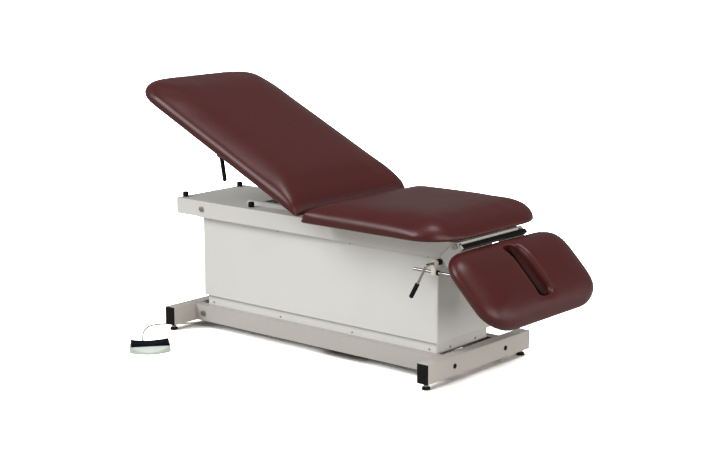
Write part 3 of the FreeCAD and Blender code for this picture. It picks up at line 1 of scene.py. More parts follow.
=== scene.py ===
"""Looks of the power treatment table: vinyl cushions, painted steel, drop lock and corded foot control."""
import bpy
import bmesh
import json
import math
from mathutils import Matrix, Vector


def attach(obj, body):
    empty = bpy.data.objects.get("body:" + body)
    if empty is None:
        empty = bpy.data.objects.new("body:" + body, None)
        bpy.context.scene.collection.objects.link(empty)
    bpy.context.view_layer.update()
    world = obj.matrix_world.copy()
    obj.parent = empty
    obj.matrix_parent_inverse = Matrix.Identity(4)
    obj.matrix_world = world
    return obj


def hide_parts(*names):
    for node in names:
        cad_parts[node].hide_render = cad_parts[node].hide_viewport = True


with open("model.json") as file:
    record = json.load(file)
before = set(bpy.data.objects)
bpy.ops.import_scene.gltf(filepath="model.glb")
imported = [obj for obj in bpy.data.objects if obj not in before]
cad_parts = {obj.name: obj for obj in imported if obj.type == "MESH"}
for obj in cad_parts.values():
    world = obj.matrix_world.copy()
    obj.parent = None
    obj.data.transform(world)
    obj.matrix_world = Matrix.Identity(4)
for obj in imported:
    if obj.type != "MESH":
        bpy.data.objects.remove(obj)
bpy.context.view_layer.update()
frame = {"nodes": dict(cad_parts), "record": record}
NODES = frame["nodes"]

# Camera at the photograph's viewing angle
CAMERA_TARGET = (0.05794, 0.00345, 0.44517)
CAMERA_AZIMUTH = 40.0913
CAMERA_ELEVATION = 11.6204
CAMERA_DISTANCE = 6.4337
CAMERA_LENS = 80.994
CAMERA_SENSOR = 36.0

# Even studio light
AMBIENT = (0.26, 0.26, 0.26)
MIRRORED = (0.24, 0.24, 0.24)
BACKGROUND = (1.0, 1.0, 1.0)
LAMP_DISTANCE = 4.0
KEY_FROM = (-0.42, -0.68, 0.60)
KEY_STRENGTH = 2.3
KEY_SPREAD = 34.0
FILL_FROM = (0.93, -0.20, 0.30)
FILL_STRENGTH = 1.75
FILL_SPREAD = 45.0
FILL_COLOUR = (1.0, 0.93, 0.86)
REAR_FROM = (0.82, 0.55, 0.14)
REAR_STRENGTH = 0.6
REAR_SPREAD = 36.0
TOP_FROM = (0.12, 0.02, 0.99)
TOP_STRENGTH = 1.15
TOP_SPREAD = 24.0

# Floor, with a shadow close round the base
FLOOR_SIZE = 60.0
FLOOR_LIT = (0.50, 0.49, 0.47)
FLOOR_SEEN = (3.4, 3.4, 3.4)
FLOOR_SHADE = (0.50, 0.49, 0.48)
SHADOW_REACH = 0.13
SHADOW_SPAN = (0.25, 0.80)
SHADOW_SAMPLES = 8

# Finishes: where most values of a noise lie, colours that vary, and the radius that edges seem to have
NOISE_SPAN = (0.3, 0.7)
VINYL = (0.054, 0.0058, 0.0050)
VINYL_DEEP = (0.050, 0.0052, 0.0045)
VINYL_PALE = (0.058, 0.0064, 0.0054)
VINYL_ROUGHNESS = (0.33, 0.40)
VINYL_COAT = (0.02, 0.06)
WOOD = (0.42, 0.28, 0.16)
WOOD_PALE = (0.47, 0.33, 0.20)
WOOD_DARK = (0.30, 0.19, 0.10)
WOOD_DRAWN = (1.0, 9.0, 9.0)
PAINT_ROUGHNESS = 0.40
PAINT_SHEEN = (PAINT_ROUGHNESS - 0.05, PAINT_ROUGHNESS + 0.06)
PAINT_FADE = 0.955
PAINT_EDGE = 0.0016
PLASTIC_GAIN = 1.2
PLASTIC_LIFT = 0.002
PLASTIC_SHEEN = 0.06
PLASTIC_EDGE = 0.0008
METAL_SHEEN = (0.7, 1.5)
METAL_DRAWN = (1.0, 30.0, 30.0)
METAL_EDGE = 0.0006
EDGE_SAMPLES = 4

# Modelling: what counts as the same place, as on a face, as parallel and as facing up
NEAR = 1e-4
SKIN = 0.001
PARALLEL = 0.999
FACING_UP = 0.9
LENGTHWAYS = 0
ACROSS = 1
UPRIGHT = 2
SMOOTH_ANGLE = 35.0
ROUND_SIDES = 40
HEXAGON_SIDES = 6
LINE_ORDER = 3

# Seat cushion, in the table's frame
HALF_WIDTH = 0.353
SEAT_SPAN = (0.085, 0.769)
SEAT_BOTTOM = 0.561
SEAT_HEIGHT = 0.050
SEAT_CROWN = 0.035
SEAT_CORNERS = (0.006, 0.150)
SEAT_DROOP = 0.012
SEAT_VOXEL = 0.009
SEAT_ROUNDING = 190
SEAT_END_ROLL = 0.10

# Back cushion, lying flat and counted from its hinge
BACK_PIVOT = (0.098, 0.0, 0.548)
BACK_TURN = 25.3
BACK_SPAN = (-1.076, -0.037)
BACK_BOTTOM = 0.0135
BACK_HEIGHT = 0.047
BACK_CROWN = 0.033
BACK_CORNERS = (0.155, 0.006)
BACK_LEAN = 0.024
BACK_VOXEL = 0.010
BACK_ROUNDING = 130
BACK_END_ROLL = 0.75

# Drop cushion with its face slot, lying flat and counted from its hinge
DROP_PIVOT = (0.726, 0.0, 0.533)
DROP_TURN = 45.0
DROP_SPAN = (0.034, 0.386)
DROP_BOTTOM = 0.0
DROP_HEIGHT = 0.036
DROP_CROWN = 0.044
DROP_CROWN_STEPS = (0.050, 0.055)
DROP_CORNERS = (0.100, 0.115)
DROP_VOXEL = 0.007
DROP_ROUNDING = 150
SLOT_SPAN = (0.076, 0.312)
SLOT_HALF = 0.041
SLOT_CORNER = 0.014
SLOT_ROLL = 0.05
SLOT_BELOW = 0.02
SLOT_ABOVE = 0.05

# Foam and cover of every cushion
FLARE = 0.020
TUCK = 0.010
CROWN_STEPS = (0.070, 0.085)
CROWN_SHARES = (0.68, 0.32)
UNDERSIDE = 0.004
CRISP_REACH = 0.08
ROLL_REACH = 0.04
HELD_REACH = 0.01
SETTLE_REACH = 0.03
SETTLE_ROUNDS = 60
SMOOTH_SHARE = 0.5
SWELL_FRAMES = 20
SWELL_CAP = 0.005
COVER_QUALITY = 5
COVER_MASS = 0.3
COVER_STIFFNESS = 40.0
COVER_BENDING = 30.0
COVER_PRESSURE = 4.0

# Feet and bumpers, as radius and height at each step
FOOT_X = 0.6731
FOOT_Y = 0.3092
FOOT_STEPS = [(0.0128, 0.0), (0.0152, 0.0012), (0.0158, 0.0035), (0.0158, 0.0075), (0.0148, 0.0100),
              (0.0110, 0.0118)]
COLLAR_STEPS = [(0.0086, 0.0110), (0.0096, 0.0122), (0.0096, 0.0172), (0.0086, 0.0184), (0.0050, 0.0186),
                (0.0050, 0.030)]
BUMPER_X = (-0.736, -0.350)
BUMPER_Y = 0.165
BUMPER_FOOT = 0.546
BUMPER_STEPS = [(0.0124, 0.0), (0.0124, 0.0150), (0.0119, 0.0190), (0.0104, 0.0208), (0.0070, 0.0215)]

# Shell of the foot control, in its own frame
PEDAL_CENTRE = (-0.4905, -0.6150)
PEDAL_TURN = 50.9
PEDAL_HALF = 0.081
PEDAL_FRONT = -0.047
PEDAL_REAR = 0.046
PEDAL_EDGE = 0.009
PEDAL_BOW = 0.036
PEDAL_SLOPE = 0.50
PEDAL_TOP = 0.026
PEDAL_CORNER = 0.014
PEDAL_ROUND = 0.0022
PEDAL_SHARP = 40.0

# Rocker of the foot control and the bay it tips in
ROCKER_HALF = 0.0765
ROCKER_FRONT = -0.013
ROCKER_REAR = 0.0445
ROCKER_BOTTOM = 0.019
ROCKER_TOP = 0.041
ROCKER_DIP = 0.007
ROCKER_SLOPE = 0.05
ROCKER_BELLY = 0.002
ROCKER_ROUND = 0.003
BAY_SIDE_GAP = 0.002
BAY_FRONT_GAP = 0.0012
BAY_FLOOR = 0.006
BAY_PAST_REAR = 0.02
BAY_TOP = 0.08

# Sleeve where the cord leaves the foot control, as radius and length at each step
RELIEF_SIDE = -0.028
RELIEF_HEIGHT = 0.011
RELIEF_STEPS = [(0.0052, -0.001), (0.0062, 0.0), (0.0062, 0.0020), (0.0050, 0.0030), (0.0050, 0.0045),
                (0.0056, 0.0050), (0.0056, 0.0070), (0.0046, 0.0078), (0.0046, 0.0092), (0.0050, 0.0098),
                (0.0050, 0.0116), (0.0041, 0.0124), (0.0041, 0.0138), (0.0044, 0.0144), (0.0042, 0.0162),
                (0.0034, 0.0180)]

# Clamp of the drop lock
HUB = (0.655, 0.466)
HUB_OUTER = -0.2295
HUB_STEPS = [(0.0088, 0.0), (0.0112, 0.0012), (0.0120, 0.0040), (0.0120, 0.0205), (0.0105, 0.0240)]
ROD_SIDE = -0.240
ROD_HEIGHT = 0.431
ROD_BORE = 0.0066
SHAFT_BORE = 0.0062
SHAFT_START = -0.28
BORE_LENGTH = 0.08
CLAMP_WIDTH = 0.022
CLAMP_SPAN = (-0.2495, -0.2305)
CLAMP_HEAD_SHARE = 0.96
CLAMP_FOOT = 0.004
CLAMP_ROUND = 0.0012
CLAMP_SHARP = 50.0

# Handle of the drop lock
HANDLE_ROUTE = [(0.655, -0.222, 0.466), (0.655, -0.262, 0.466), (0.655, -0.280, 0.467),
                (0.654, -0.292, 0.464), (0.645, -0.290, 0.447), (0.620, -0.286, 0.405),
                (0.583, -0.284, 0.341)]
HANDLE_RADIUS = 0.005

# Grip of the handle: shares of its radius with lengths, and for a rib with shares of the pitch
GRIP_RADIUS = 0.0086
GRIP_PITCH = 0.0062
GRIP_RIBS = 9
GRIP_FIRST_RIB = 0.004
GRIP_SEAT = 0.002
GRIP_START = [(0.6, 0.0), (0.95, 0.002)]
GRIP_RIB = [(1.0, 0.0), (1.0, 0.55), (0.9, 0.68), (0.9, 0.88)]
GRIP_TIP = [(1.0, 0.002), (0.9, 0.006), (0.5, 0.009)]
GRIP_LAST = GRIP_FIRST_RIB + GRIP_PITCH * (GRIP_RIBS - 1 + GRIP_RIB[-1][1])

# Pedal cord, the same route as its tube
CORD_RADIUS = 0.00275
CORD_ROUTE = [
    (0.028, -0.030, 0.031), (0.008, -0.032, 0.018), (-0.019, -0.036, 0.007), (-0.056, -0.042, CORD_RADIUS),
    (-0.112, -0.049, CORD_RADIUS), (-0.182, -0.054, CORD_RADIUS), (-0.262, -0.063, CORD_RADIUS),
    (-0.345, -0.070, CORD_RADIUS), (-0.432, -0.082, CORD_RADIUS), (-0.515, -0.098, CORD_RADIUS),
    (-0.586, -0.120, CORD_RADIUS), (-0.640, -0.148, CORD_RADIUS), (-0.680, -0.182, CORD_RADIUS),
    (-0.708, -0.218, CORD_RADIUS), (-0.736, -0.250, CORD_RADIUS), (-0.763, -0.278, CORD_RADIUS),
    (-0.784, -0.308, CORD_RADIUS), (-0.789, -0.338, CORD_RADIUS), (-0.777, -0.372, CORD_RADIUS),
    (-0.749, -0.413, CORD_RADIUS), (-0.712, -0.453, CORD_RADIUS), (-0.670, -0.493, CORD_RADIUS),
    (-0.634, -0.526, CORD_RADIUS), (-0.600, -0.555, 0.007), (-0.5714, -0.5795, 0.011),
    (-0.5528, -0.5946, 0.011),
]


class Wire:
    """A node's output that takes part in sums; each sum adds a Math node."""

    def __init__(self, web, socket):
        self.web = web
        self.socket = socket

    def sum(self, operation, first, second):
        return self.web.node("ShaderNodeMath", {"operation": operation}, {0: first, 1: second})

    def __add__(self, other):
        return self.sum("ADD", self, other)

    def __mul__(self, other):
        return self.sum("MULTIPLY", self, other)

    __radd__ = __add__
    __rmul__ = __mul__


class Web:
    """A node tree, with a single way of adding nodes to it."""

    def __init__(self, tree):
        self.tree = tree

    def node(self, kind, settings, sockets, output=0):
        """A node with its settings and its sockets' values or links; gives one of its outputs."""
        made = self.tree.nodes.new(kind)
        for setting, value in settings.items():
            setattr(made, setting, value)
        for socket, value in sockets.items():
            self.feed(made.inputs[socket], value)
        return Wire(self, made.outputs[output])

    def feed(self, socket, value):
        """A link or a plain value into a socket."""
        if isinstance(value, Wire):
            self.tree.links.new(value.socket, socket)
        else:
            socket.default_value = value

    def between(self, share, first, second):
        """Colour between two colours."""
        colours = [tone if isinstance(tone, Wire) else (*tone, 1.0) for tone in (first, second)]
        return self.node("ShaderNodeMix", {"data_type": "RGBA"}, {0: share, 6: colours[0], 7: colours[1]}, 2)

    def rays(self, kind):
        """One for rays of a kind, and zero for the rest."""
        return self.node("ShaderNodeLightPath", {}, {}, "Is " + kind + " Ray")


class Finish(Web):
    """One material and its shader."""

    def __init__(self, name, colour, roughness, fixed=()):
        self.material = bpy.data.materials.new(name)
        self.material.use_nodes = True
        self.material.diffuse_color = (*colour, 1.0)
        super().__init__(self.material.node_tree)
        self.shader = self.tree.nodes["Principled BSDF"]
        self.set("Base Color", (*colour, 1.0))
        self.set("Roughness", roughness)
        for socket, value in fixed:
            self.set(socket, value)
        self.place = self.node("ShaderNodeTexCoord", {}, {}, "Object")

    def set(self, socket, value):
        """Feeds one of the shader's own sockets."""
        self.feed(self.shader.inputs[socket], value)

    def noise(self, scale, detail=2.0, roughness=0.5, place=None):
        """Soft random pattern of values round a half."""
        return self.node("ShaderNodeTexNoise", {}, {"Vector": place or self.place, "Scale": scale,
                                                    "Detail": detail, "Roughness": roughness})

    def cells(self, scale):
        """Rounded cells, as on grained vinyl."""
        return self.node("ShaderNodeTexVoronoi", {}, {"Vector": self.place, "Scale": scale}, "Distance")

    def stretched(self, scale):
        """Object coordinates, closer together along some axes."""
        return self.node("ShaderNodeMapping", {}, {"Vector": self.place, "Scale": scale})

    def range(self, value, low, high, to_low=0.0, to_high=1.0):
        """A value moved from one span to another and held there."""
        return self.node("ShaderNodeMapRange", {}, {"Value": value, "From Min": low, "From Max": high,
                                                    "To Min": to_low, "To Max": to_high})

    def relief(self, height, distance, strength, edge=0.0):
        """Fine relief, on edges softened by a small radius where one is given."""
        sockets = {"Strength": strength, "Distance": distance, "Height": height}
        if edge:
            sockets["Normal"] = self.node("ShaderNodeBevel", {"samples": EDGE_SAMPLES}, {"Radius": edge})
        self.set("Normal", self.node("ShaderNodeBump", {}, sockets))


def vinyl_finish():
    """Burgundy upholstery vinyl: pebbled grain, soft gloss, faint handling marks."""
    finish = Finish("burgundy_vinyl", VINYL, roughness=0.36,
                    fixed=[("Coat Roughness", 0.28), ("Specular IOR Level", 0.36)])
    patches = finish.noise(scale=7.0, detail=3.0)
    finish.set("Base Color", finish.between(patches, VINYL_DEEP, VINYL_PALE))
    handled = patches + finish.noise(scale=90.0) * 0.3
    finish.set("Roughness", finish.range(handled, 0.3, 1.0, *VINYL_ROUGHNESS))
    finish.set("Coat Weight", finish.range(finish.noise(scale=18.0), 0.35, 0.7, *VINYL_COAT))
    grain = finish.cells(scale=620.0) * 0.7 + finish.noise(scale=240.0, detail=3.0) * 0.6
    finish.relief(grain, distance=0.00022, strength=0.35)
    return finish.material


def painted_finish(name, colour):
    """Powder-coated steel: faint orange peel, softened edges and slight tone changes."""
    finish = Finish(name, colour, PAINT_ROUGHNESS)
    drift = finish.range(finish.noise(scale=3.2), *NOISE_SPAN)
    finish.set("Base Color", finish.between(drift, colour, [part * PAINT_FADE for part in colour]))
    dulling = finish.noise(scale=24.0, detail=3.0)
    finish.set("Roughness", finish.range(dulling, *NOISE_SPAN, *PAINT_SHEEN))
    finish.relief(finish.noise(scale=420.0, detail=1.0), distance=0.00016, strength=0.22, edge=PAINT_EDGE)
    return finish.material


def plastic_finish(name, colour, roughness, grain_scale=900.0, grain_depth=0.00008, gloss=0.10):
    """Moulded plastic or rubber with a fine spark-eroded grain."""
    finish = Finish(name, colour, roughness, [("Specular IOR Level", gloss)])
    light = [min(1.0, part * PLASTIC_GAIN + PLASTIC_LIFT) for part in colour]
    clouds = finish.range(finish.noise(scale=14.0, detail=3.0), 0.3, 0.75)
    finish.set("Base Color", finish.between(clouds, colour, light))
    dulling = finish.noise(scale=60.0)
    finish.set("Roughness", finish.range(dulling, *NOISE_SPAN, roughness - PLASTIC_SHEEN,
                                         roughness + PLASTIC_SHEEN))
    finish.relief(finish.noise(grain_scale, detail=1.0), grain_depth, strength=0.4, edge=PLASTIC_EDGE)
    return finish.material


def bright_metal_finish(name, colour, roughness, scratch):
    """Plated metal with fine drawn lines and a little haze."""
    finish = Finish(name, colour, roughness, [("Metallic", 1.0)])
    lines = finish.noise(scale=60.0, place=finish.stretched(METAL_DRAWN))
    marks = lines * 0.5 + finish.noise(scale=35.0, detail=3.0) * 0.5
    sheen = [roughness * share for share in METAL_SHEEN]
    finish.set("Roughness", finish.range(marks, *NOISE_SPAN, *sheen))
    finish.relief(lines, distance=0.00005, strength=scratch, edge=METAL_EDGE)
    return finish.material


def plywood_finish():
    """Bare plywood: long grain with darker streaks."""
    finish = Finish("plywood", WOOD, roughness=0.62)
    grain = finish.noise(scale=9.0, detail=5.0, roughness=0.6, place=finish.stretched(WOOD_DRAWN))
    finish.set("Base Color", finish.between(finish.range(grain, *NOISE_SPAN), WOOD_PALE, WOOD_DARK))
    finish.relief(grain, distance=0.0003, strength=0.3)
    return finish.material


# The finish of each material slot
FINISHES = {
    "painted_steel": painted_finish("powder_coat", (0.70, 0.70, 0.68)),
    # Base frame coat: darker and warmer than the shroud's coat, partly its own paint and partly painted
    # shade, as the low members get less light
    "frame_paint_and_shade": painted_finish("warm_frame_coat_and_shade", (0.50, 0.478, 0.45)),
    # Tray coat: a little darker and warmer than the shroud's coat, as painted shade from the cushions above
    # and painted pink bounce light from the vinyl
    "tray_paint_with_painted_shade": painted_finish("tray_coat_with_painted_shade", (0.67, 0.665, 0.635)),
    "black_paint": plastic_finish("black_coat", (0.007, 0.007, 0.0065), 0.40),
    "vinyl": vinyl_finish(),
    "board": plywood_finish(),
    "rubber": plastic_finish("black_rubber", (0.007, 0.007, 0.0065), 0.55, 700.0, 0.0001),
    "black_plastic": plastic_finish("black_moulding", (0.006, 0.006, 0.0055), 0.42),
    "nylon": plastic_finish("natural_nylon", (0.62, 0.58, 0.50), 0.45),
    "steel": bright_metal_finish("zinc_steel", (0.42, 0.40, 0.37), 0.34, 0.3),
    "bolt_steel": bright_metal_finish("dull_bolt_steel", (0.33, 0.295, 0.26), 0.28, 0.2),
    "chrome": bright_metal_finish("bright_chrome", (0.36, 0.335, 0.31), 0.20, 0.08),
    "ivory_plastic": plastic_finish("ivory_block", (0.70, 0.66, 0.56), 0.38),
    "navy_plastic": plastic_finish("navy_rocker", (0.0025, 0.0045, 0.009), 0.50, gloss=0.03),
    "pedal_plastic": plastic_finish("pale_pedal_shell", (0.47, 0.52, 0.485), 0.36),
    "cord_jacket": plastic_finish("pale_cord_jacket", (0.47, 0.47, 0.39), 0.46),
}

# Nodes with another finish than their slot's own
TONES = {
    "end_rail_head": "frame_paint_and_shade", "end_rail_foot": "frame_paint_and_shade", "side_channels": "frame_paint_and_shade",
    "base_member": "frame_paint_and_shade", "control_pan": "frame_paint_and_shade", "top_tray": "tray_paint_with_painted_shade",
    # The drop board takes the black coat as painted shade: it keeps the floor of the face slot dark
    "support_rails": "tray_paint_with_painted_shade", "shoe_tracks": "tray_paint_with_painted_shade", "drop_board": "black_paint",
    "base_pivot_bolts": "bolt_steel", "top_pivot_bolts": "bolt_steel", "drop_pivot_bolts": "bolt_steel",
}


def dress_nodes():
    """Every piece carried over from the construction gets its finish."""
    for entry in frame["record"]["subparts"]:
        piece = NODES[entry["node"]]
        piece.data.materials.clear()
        piece.data.materials.append(FINISHES[TONES.get(entry["node"], entry["material_slot"])])


def dress(piece, slot, body, *nodes):
    """Finish, body and replaced nodes of a new piece."""
    piece.data.materials.clear()
    piece.data.materials.append(FINISHES[slot])
    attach(piece, body)
    if nodes:
        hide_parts(*nodes)
    return piece


def select_only(piece):
    """Leaves one piece selected and active."""
    bpy.ops.object.select_all(action="DESELECT")
    piece.select_set(True)
    bpy.context.view_layer.objects.active = piece


def settle(piece):
    """Puts a piece's place, turn and scale into its mesh."""
    select_only(piece)
    bpy.ops.object.transform_apply(location=True, rotation=True, scale=True)
    return piece


def smooth(piece):
    """Smooth shading that keeps sharp edges."""
    select_only(piece)
    bpy.ops.object.shade_smooth_by_angle(angle=math.radians(SMOOTH_ANGLE))
    return piece


def block(name, low, high):
    """A cube primitive brought to two corners."""
    bpy.ops.object.select_all(action="DESELECT")
    middle = (Vector(low) + Vector(high)) / 2
    bpy.ops.mesh.primitive_cube_add(size=1.0, location=middle)
    piece = bpy.context.object
    piece.name = name
    piece.scale = Vector(high) - Vector(low)
    return settle(piece)


def pick(piece, kind, test):
    """Edit mode with the edges or faces selected that pass a test."""
    bpy.context.view_layer.objects.active = piece
    bpy.ops.object.mode_set(mode="EDIT")
    bpy.ops.mesh.select_all(action="DESELECT")
    bpy.ops.mesh.select_mode(type=kind)
    mesh = bmesh.from_edit_mesh(piece.data)
    for item in {"EDGE": mesh.edges, "FACE": mesh.faces}[kind]:
        item.select_set(test(item))
    bmesh.update_edit_mesh(piece.data)


def leave_edit():
    """Back to object mode."""
    bpy.ops.object.mode_set(mode="OBJECT")


def middle_of(edge):
    """Middle point of an edge."""
    return (edge.verts[0].co + edge.verts[1].co) / 2


def runs_along(edge, axis):
    """True for an edge parallel to X, Y or Z."""
    way = (edge.verts[1].co - edge.verts[0].co).normalized()
    return abs(way[axis]) > PARALLEL


def stands_up(edge, bottom, height, end, reach):
    """True for an edge near a block's end that joins its underside to its top rim."""
    heights = sorted(point.co.z for point in edge.verts)
    joins = abs(heights[0] - bottom) < NEAR and heights[1] > bottom + height / 2
    return joins and abs(middle_of(edge).x - end) < reach + NEAR


def lies_on(edge, bottom):
    """True for an edge of a block's underside."""
    return max(point.co.z for point in edge.verts) < bottom + NEAR


def ends_rim(edge, end, rim):
    """True for the edge of a block's rim that runs across its far end."""
    middle = middle_of(edge)
    return runs_along(edge, ACROSS) and middle.x > end - NEAR and abs(middle.z - rim) < NEAR


def round_edges(piece, test, width, segments):
    """Bevels the edges that pass a test into a round."""
    pick(piece, "EDGE", test)
    bpy.ops.mesh.bevel(offset=width, segments=segments, profile=0.5, affect="EDGES")
    leave_edit()


def move_edges(piece, test, move):
    """Moves the edges that pass a test."""
    pick(piece, "EDGE", test)
    bpy.ops.transform.translate(value=move)
    leave_edit()


def apply_modifier(piece, kind, **settings):
    """Adds a modifier with its settings and applies it."""
    bpy.context.view_layer.objects.active = piece
    modifier = piece.modifiers.new(kind.lower(), kind)
    for setting, value in settings.items():
        setattr(modifier, setting, value)
    bpy.ops.object.modifier_apply(modifier=modifier.name)


def soften(piece, width, segments, sharp):
    """Rounds every edge that turns by more than an angle."""
    apply_modifier(piece, "BEVEL", width=width, segments=segments, limit_method="ANGLE",
                   angle_limit=math.radians(sharp))


def bored(piece, tool):
    """Cuts a tool's shape out of a piece."""
    apply_modifier(piece, "BOOLEAN", operation="DIFFERENCE", object=tool, solver="EXACT")
    bpy.data.objects.remove(tool)


def weigh(piece, name, weight):
    """Vertex group whose weights come from each point's place."""
    group = piece.vertex_groups.new(name=name)
    for point in piece.data.vertices:
        group.add([point.index], weight(point.co), "REPLACE")


def cover_cloth(piece):
    """Cloth modifier of a cushion's cover, under pressure from inside."""
    cloth = piece.modifiers.new("cover", "CLOTH")
    cloth.settings.quality = COVER_QUALITY
    cloth.settings.mass = COVER_MASS
    cloth.settings.tension_stiffness = COVER_STIFFNESS
    cloth.settings.compression_stiffness = COVER_STIFFNESS
    cloth.settings.bending_stiffness = COVER_BENDING
    cloth.settings.use_pressure = True
    cloth.settings.uniform_pressure_force = COVER_PRESSURE
    cloth.settings.effector_weights.gravity = 0.0
    cloth.settings.vertex_group_mass = "held"
    cloth.point_cache.frame_start = 1
    cloth.point_cache.frame_end = SWELL_FRAMES
    return cloth


def swell(piece):
    """Cloth simulation that blows the cover out a little, with the underside held."""
    start = [point.co.copy() for point in piece.data.vertices]
    cloth = cover_cloth(piece)
    for step in range(1, SWELL_FRAMES + 1):
        bpy.context.scene.frame_set(step)
    bpy.context.view_layer.objects.active = piece
    bpy.ops.object.modifier_apply(modifier=cloth.name)
    bpy.context.scene.frame_set(1)
    for point, before in zip(piece.data.vertices, start):
        move = point.co - before
        if move.length > SWELL_CAP:
            point.co = before + move * (SWELL_CAP / move.length)


def crown_top(piece, crown, steps):
    """Widens a block's top, so that its sides stay upright when smoothed, and raises its middle."""
    pick(piece, "FACE", lambda face: face.normal.z > FACING_UP)
    bpy.ops.transform.resize(value=(1.0, 1.0 + FLARE / HALF_WIDTH, 1.0))
    for step, share in zip(steps, CROWN_SHARES):
        bpy.ops.mesh.inset(thickness=step, depth=0.0)
        bpy.ops.transform.translate(value=(0.0, 0.0, crown * share))
    leave_edit()


def pad_block(name, span, bottom, height, crown, corners, steps=CROWN_STEPS, lean=0.0, droop=0.0):
    """Foam block of a cushion: crowned and rounded in plan, with a far end that may lean back or droop."""
    rim = bottom + height
    piece = block(name, (span[0], -HALF_WIDTH, bottom), (span[1], HALF_WIDTH, rim))
    move_edges(piece, lambda edge: ends_rim(edge, span[1], rim), (-lean, 0.0, 0.0))
    crown_top(piece, crown, steps)
    move_edges(piece, lambda edge: ends_rim(edge, span[1] - lean, rim), (0.0, 0.0, -droop))
    for end, radius in zip(span, corners):
        round_edges(piece, lambda edge: stands_up(edge, bottom, height, end, lean), radius, segments=10)
    round_edges(piece, lambda edge: lies_on(edge, bottom), TUCK, segments=3)
    return piece


def ramp(value, start, length, least=0.0):
    """A share that climbs from its least value to one."""
    return min(1.0, max(least, least + (value - start) / length))


def upholster(piece, bottom, voxel, rounding, soft):
    """Turns a foam block into a covered pad: rolled edges, swollen cover, flat underside."""
    apply_modifier(piece, "REMESH", mode="VOXEL", voxel_size=voxel)
    weigh(piece, "roll", lambda co: ramp(co.z, bottom + UNDERSIDE, ROLL_REACH) * soft(co))
    apply_modifier(piece, "SMOOTH", factor=SMOOTH_SHARE, iterations=rounding, vertex_group="roll")
    weigh(piece, "held", lambda co: 1.0 - ramp(co.z, bottom + 2 * UNDERSIDE, HELD_REACH))
    swell(piece)
    weigh(piece, "settle", lambda co: ramp(co.z, bottom + UNDERSIDE, SETTLE_REACH))
    apply_modifier(piece, "SMOOTH", factor=SMOOTH_SHARE, iterations=SETTLE_ROUNDS, vertex_group="settle")
    apply_modifier(piece, "SUBSURF", levels=1, render_levels=1)
    select_only(piece)
    bpy.ops.object.shade_smooth()


def swing(piece, pivot, degrees):
    """Turns a piece modelled lying flat about its hinge, and puts it in place."""
    piece.location = pivot
    piece.rotation_euler = (0.0, math.radians(degrees), 0.0)
    return settle(piece)


def seat_cushion():
    """Fixed seat cushion, with a crisp end at the backrest."""
    piece = pad_block("seat_pad", SEAT_SPAN, SEAT_BOTTOM, SEAT_HEIGHT, SEAT_CROWN, SEAT_CORNERS,
                      droop=SEAT_DROOP)
    upholster(piece, SEAT_BOTTOM, SEAT_VOXEL, SEAT_ROUNDING,
              lambda co: ramp(co.x, SEAT_SPAN[0], CRISP_REACH, SEAT_END_ROLL))
    return dress(piece, "vinyl", "top", "seat_cushion")


def back_cushion():
    """Raised back cushion, leaning back where it meets the seat."""
    piece = pad_block("back_pad", BACK_SPAN, BACK_BOTTOM, BACK_HEIGHT, BACK_CROWN, BACK_CORNERS,
                      lean=BACK_LEAN)
    upholster(piece, BACK_BOTTOM, BACK_VOXEL, BACK_ROUNDING,
              lambda co: ramp(BACK_SPAN[1], co.x, CRISP_REACH, BACK_END_ROLL))
    swing(piece, BACK_PIVOT, BACK_TURN)
    return dress(piece, "vinyl", "back", "back_cushion")


def from_slot(co):
    """Distance from the middle line of the face slot."""
    start = SLOT_SPAN[0] + SLOT_HALF
    end = SLOT_SPAN[1] - SLOT_HALF
    return math.hypot(max(start - co.x, 0.0, co.x - end), co.y)


def slot_cutter():
    """Rounded plug in the shape of the face slot."""
    low = (SLOT_SPAN[0], -SLOT_HALF, DROP_BOTTOM - SLOT_BELOW)
    high = (SLOT_SPAN[1], SLOT_HALF, DROP_BOTTOM + DROP_HEIGHT + SLOT_ABOVE)
    plug = block("slot_plug", low, high)
    round_edges(plug, lambda edge: runs_along(edge, UPRIGHT), SLOT_CORNER, segments=5)
    return plug


def drop_cushion():
    """Drop section cushion with its face slot."""
    piece = pad_block("drop_pad", DROP_SPAN, DROP_BOTTOM, DROP_HEIGHT, DROP_CROWN, DROP_CORNERS,
                      DROP_CROWN_STEPS)
    bored(piece, slot_cutter())
    upholster(piece, DROP_BOTTOM, DROP_VOXEL, DROP_ROUNDING,
              lambda co: ramp(from_slot(co), SLOT_HALF, CRISP_REACH, SLOT_ROLL))
    swing(piece, DROP_PIVOT, DROP_TURN)
    return dress(piece, "vinyl", "drop", "drop_cushion")


def turned(name, place, steps, sides=ROUND_SIDES):
    """A turned piece: a disc extruded upwards and resized at each step of radius and height."""
    bpy.ops.object.select_all(action="DESELECT")
    radius, height = steps[0]
    bpy.ops.mesh.primitive_circle_add(vertices=sides, radius=radius, fill_type="NGON",
                                      location=Vector(place) + Vector((0.0, 0.0, height)))
    piece = bpy.context.object
    piece.name = name
    bpy.ops.object.mode_set(mode="EDIT")
    bpy.ops.mesh.select_all(action="SELECT")
    for before, after in zip(steps, steps[1:]):
        share = after[0] / before[0]
        bpy.ops.mesh.extrude_region_move(TRANSFORM_OT_translate={"value": (0.0, 0.0, after[1] - before[1])})
        bpy.ops.transform.resize(value=(share, share, 1.0))
    bpy.ops.mesh.select_all(action="SELECT")
    bpy.ops.mesh.normals_make_consistent(inside=False)
    leave_edit()
    return smooth(settle(piece))


def across(piece, place):
    """Turns an upright turned piece to run along the near-to-far direction from a place."""
    piece.location = place
    piece.rotation_euler = (-math.pi / 2, 0.0, 0.0)
    return settle(piece)


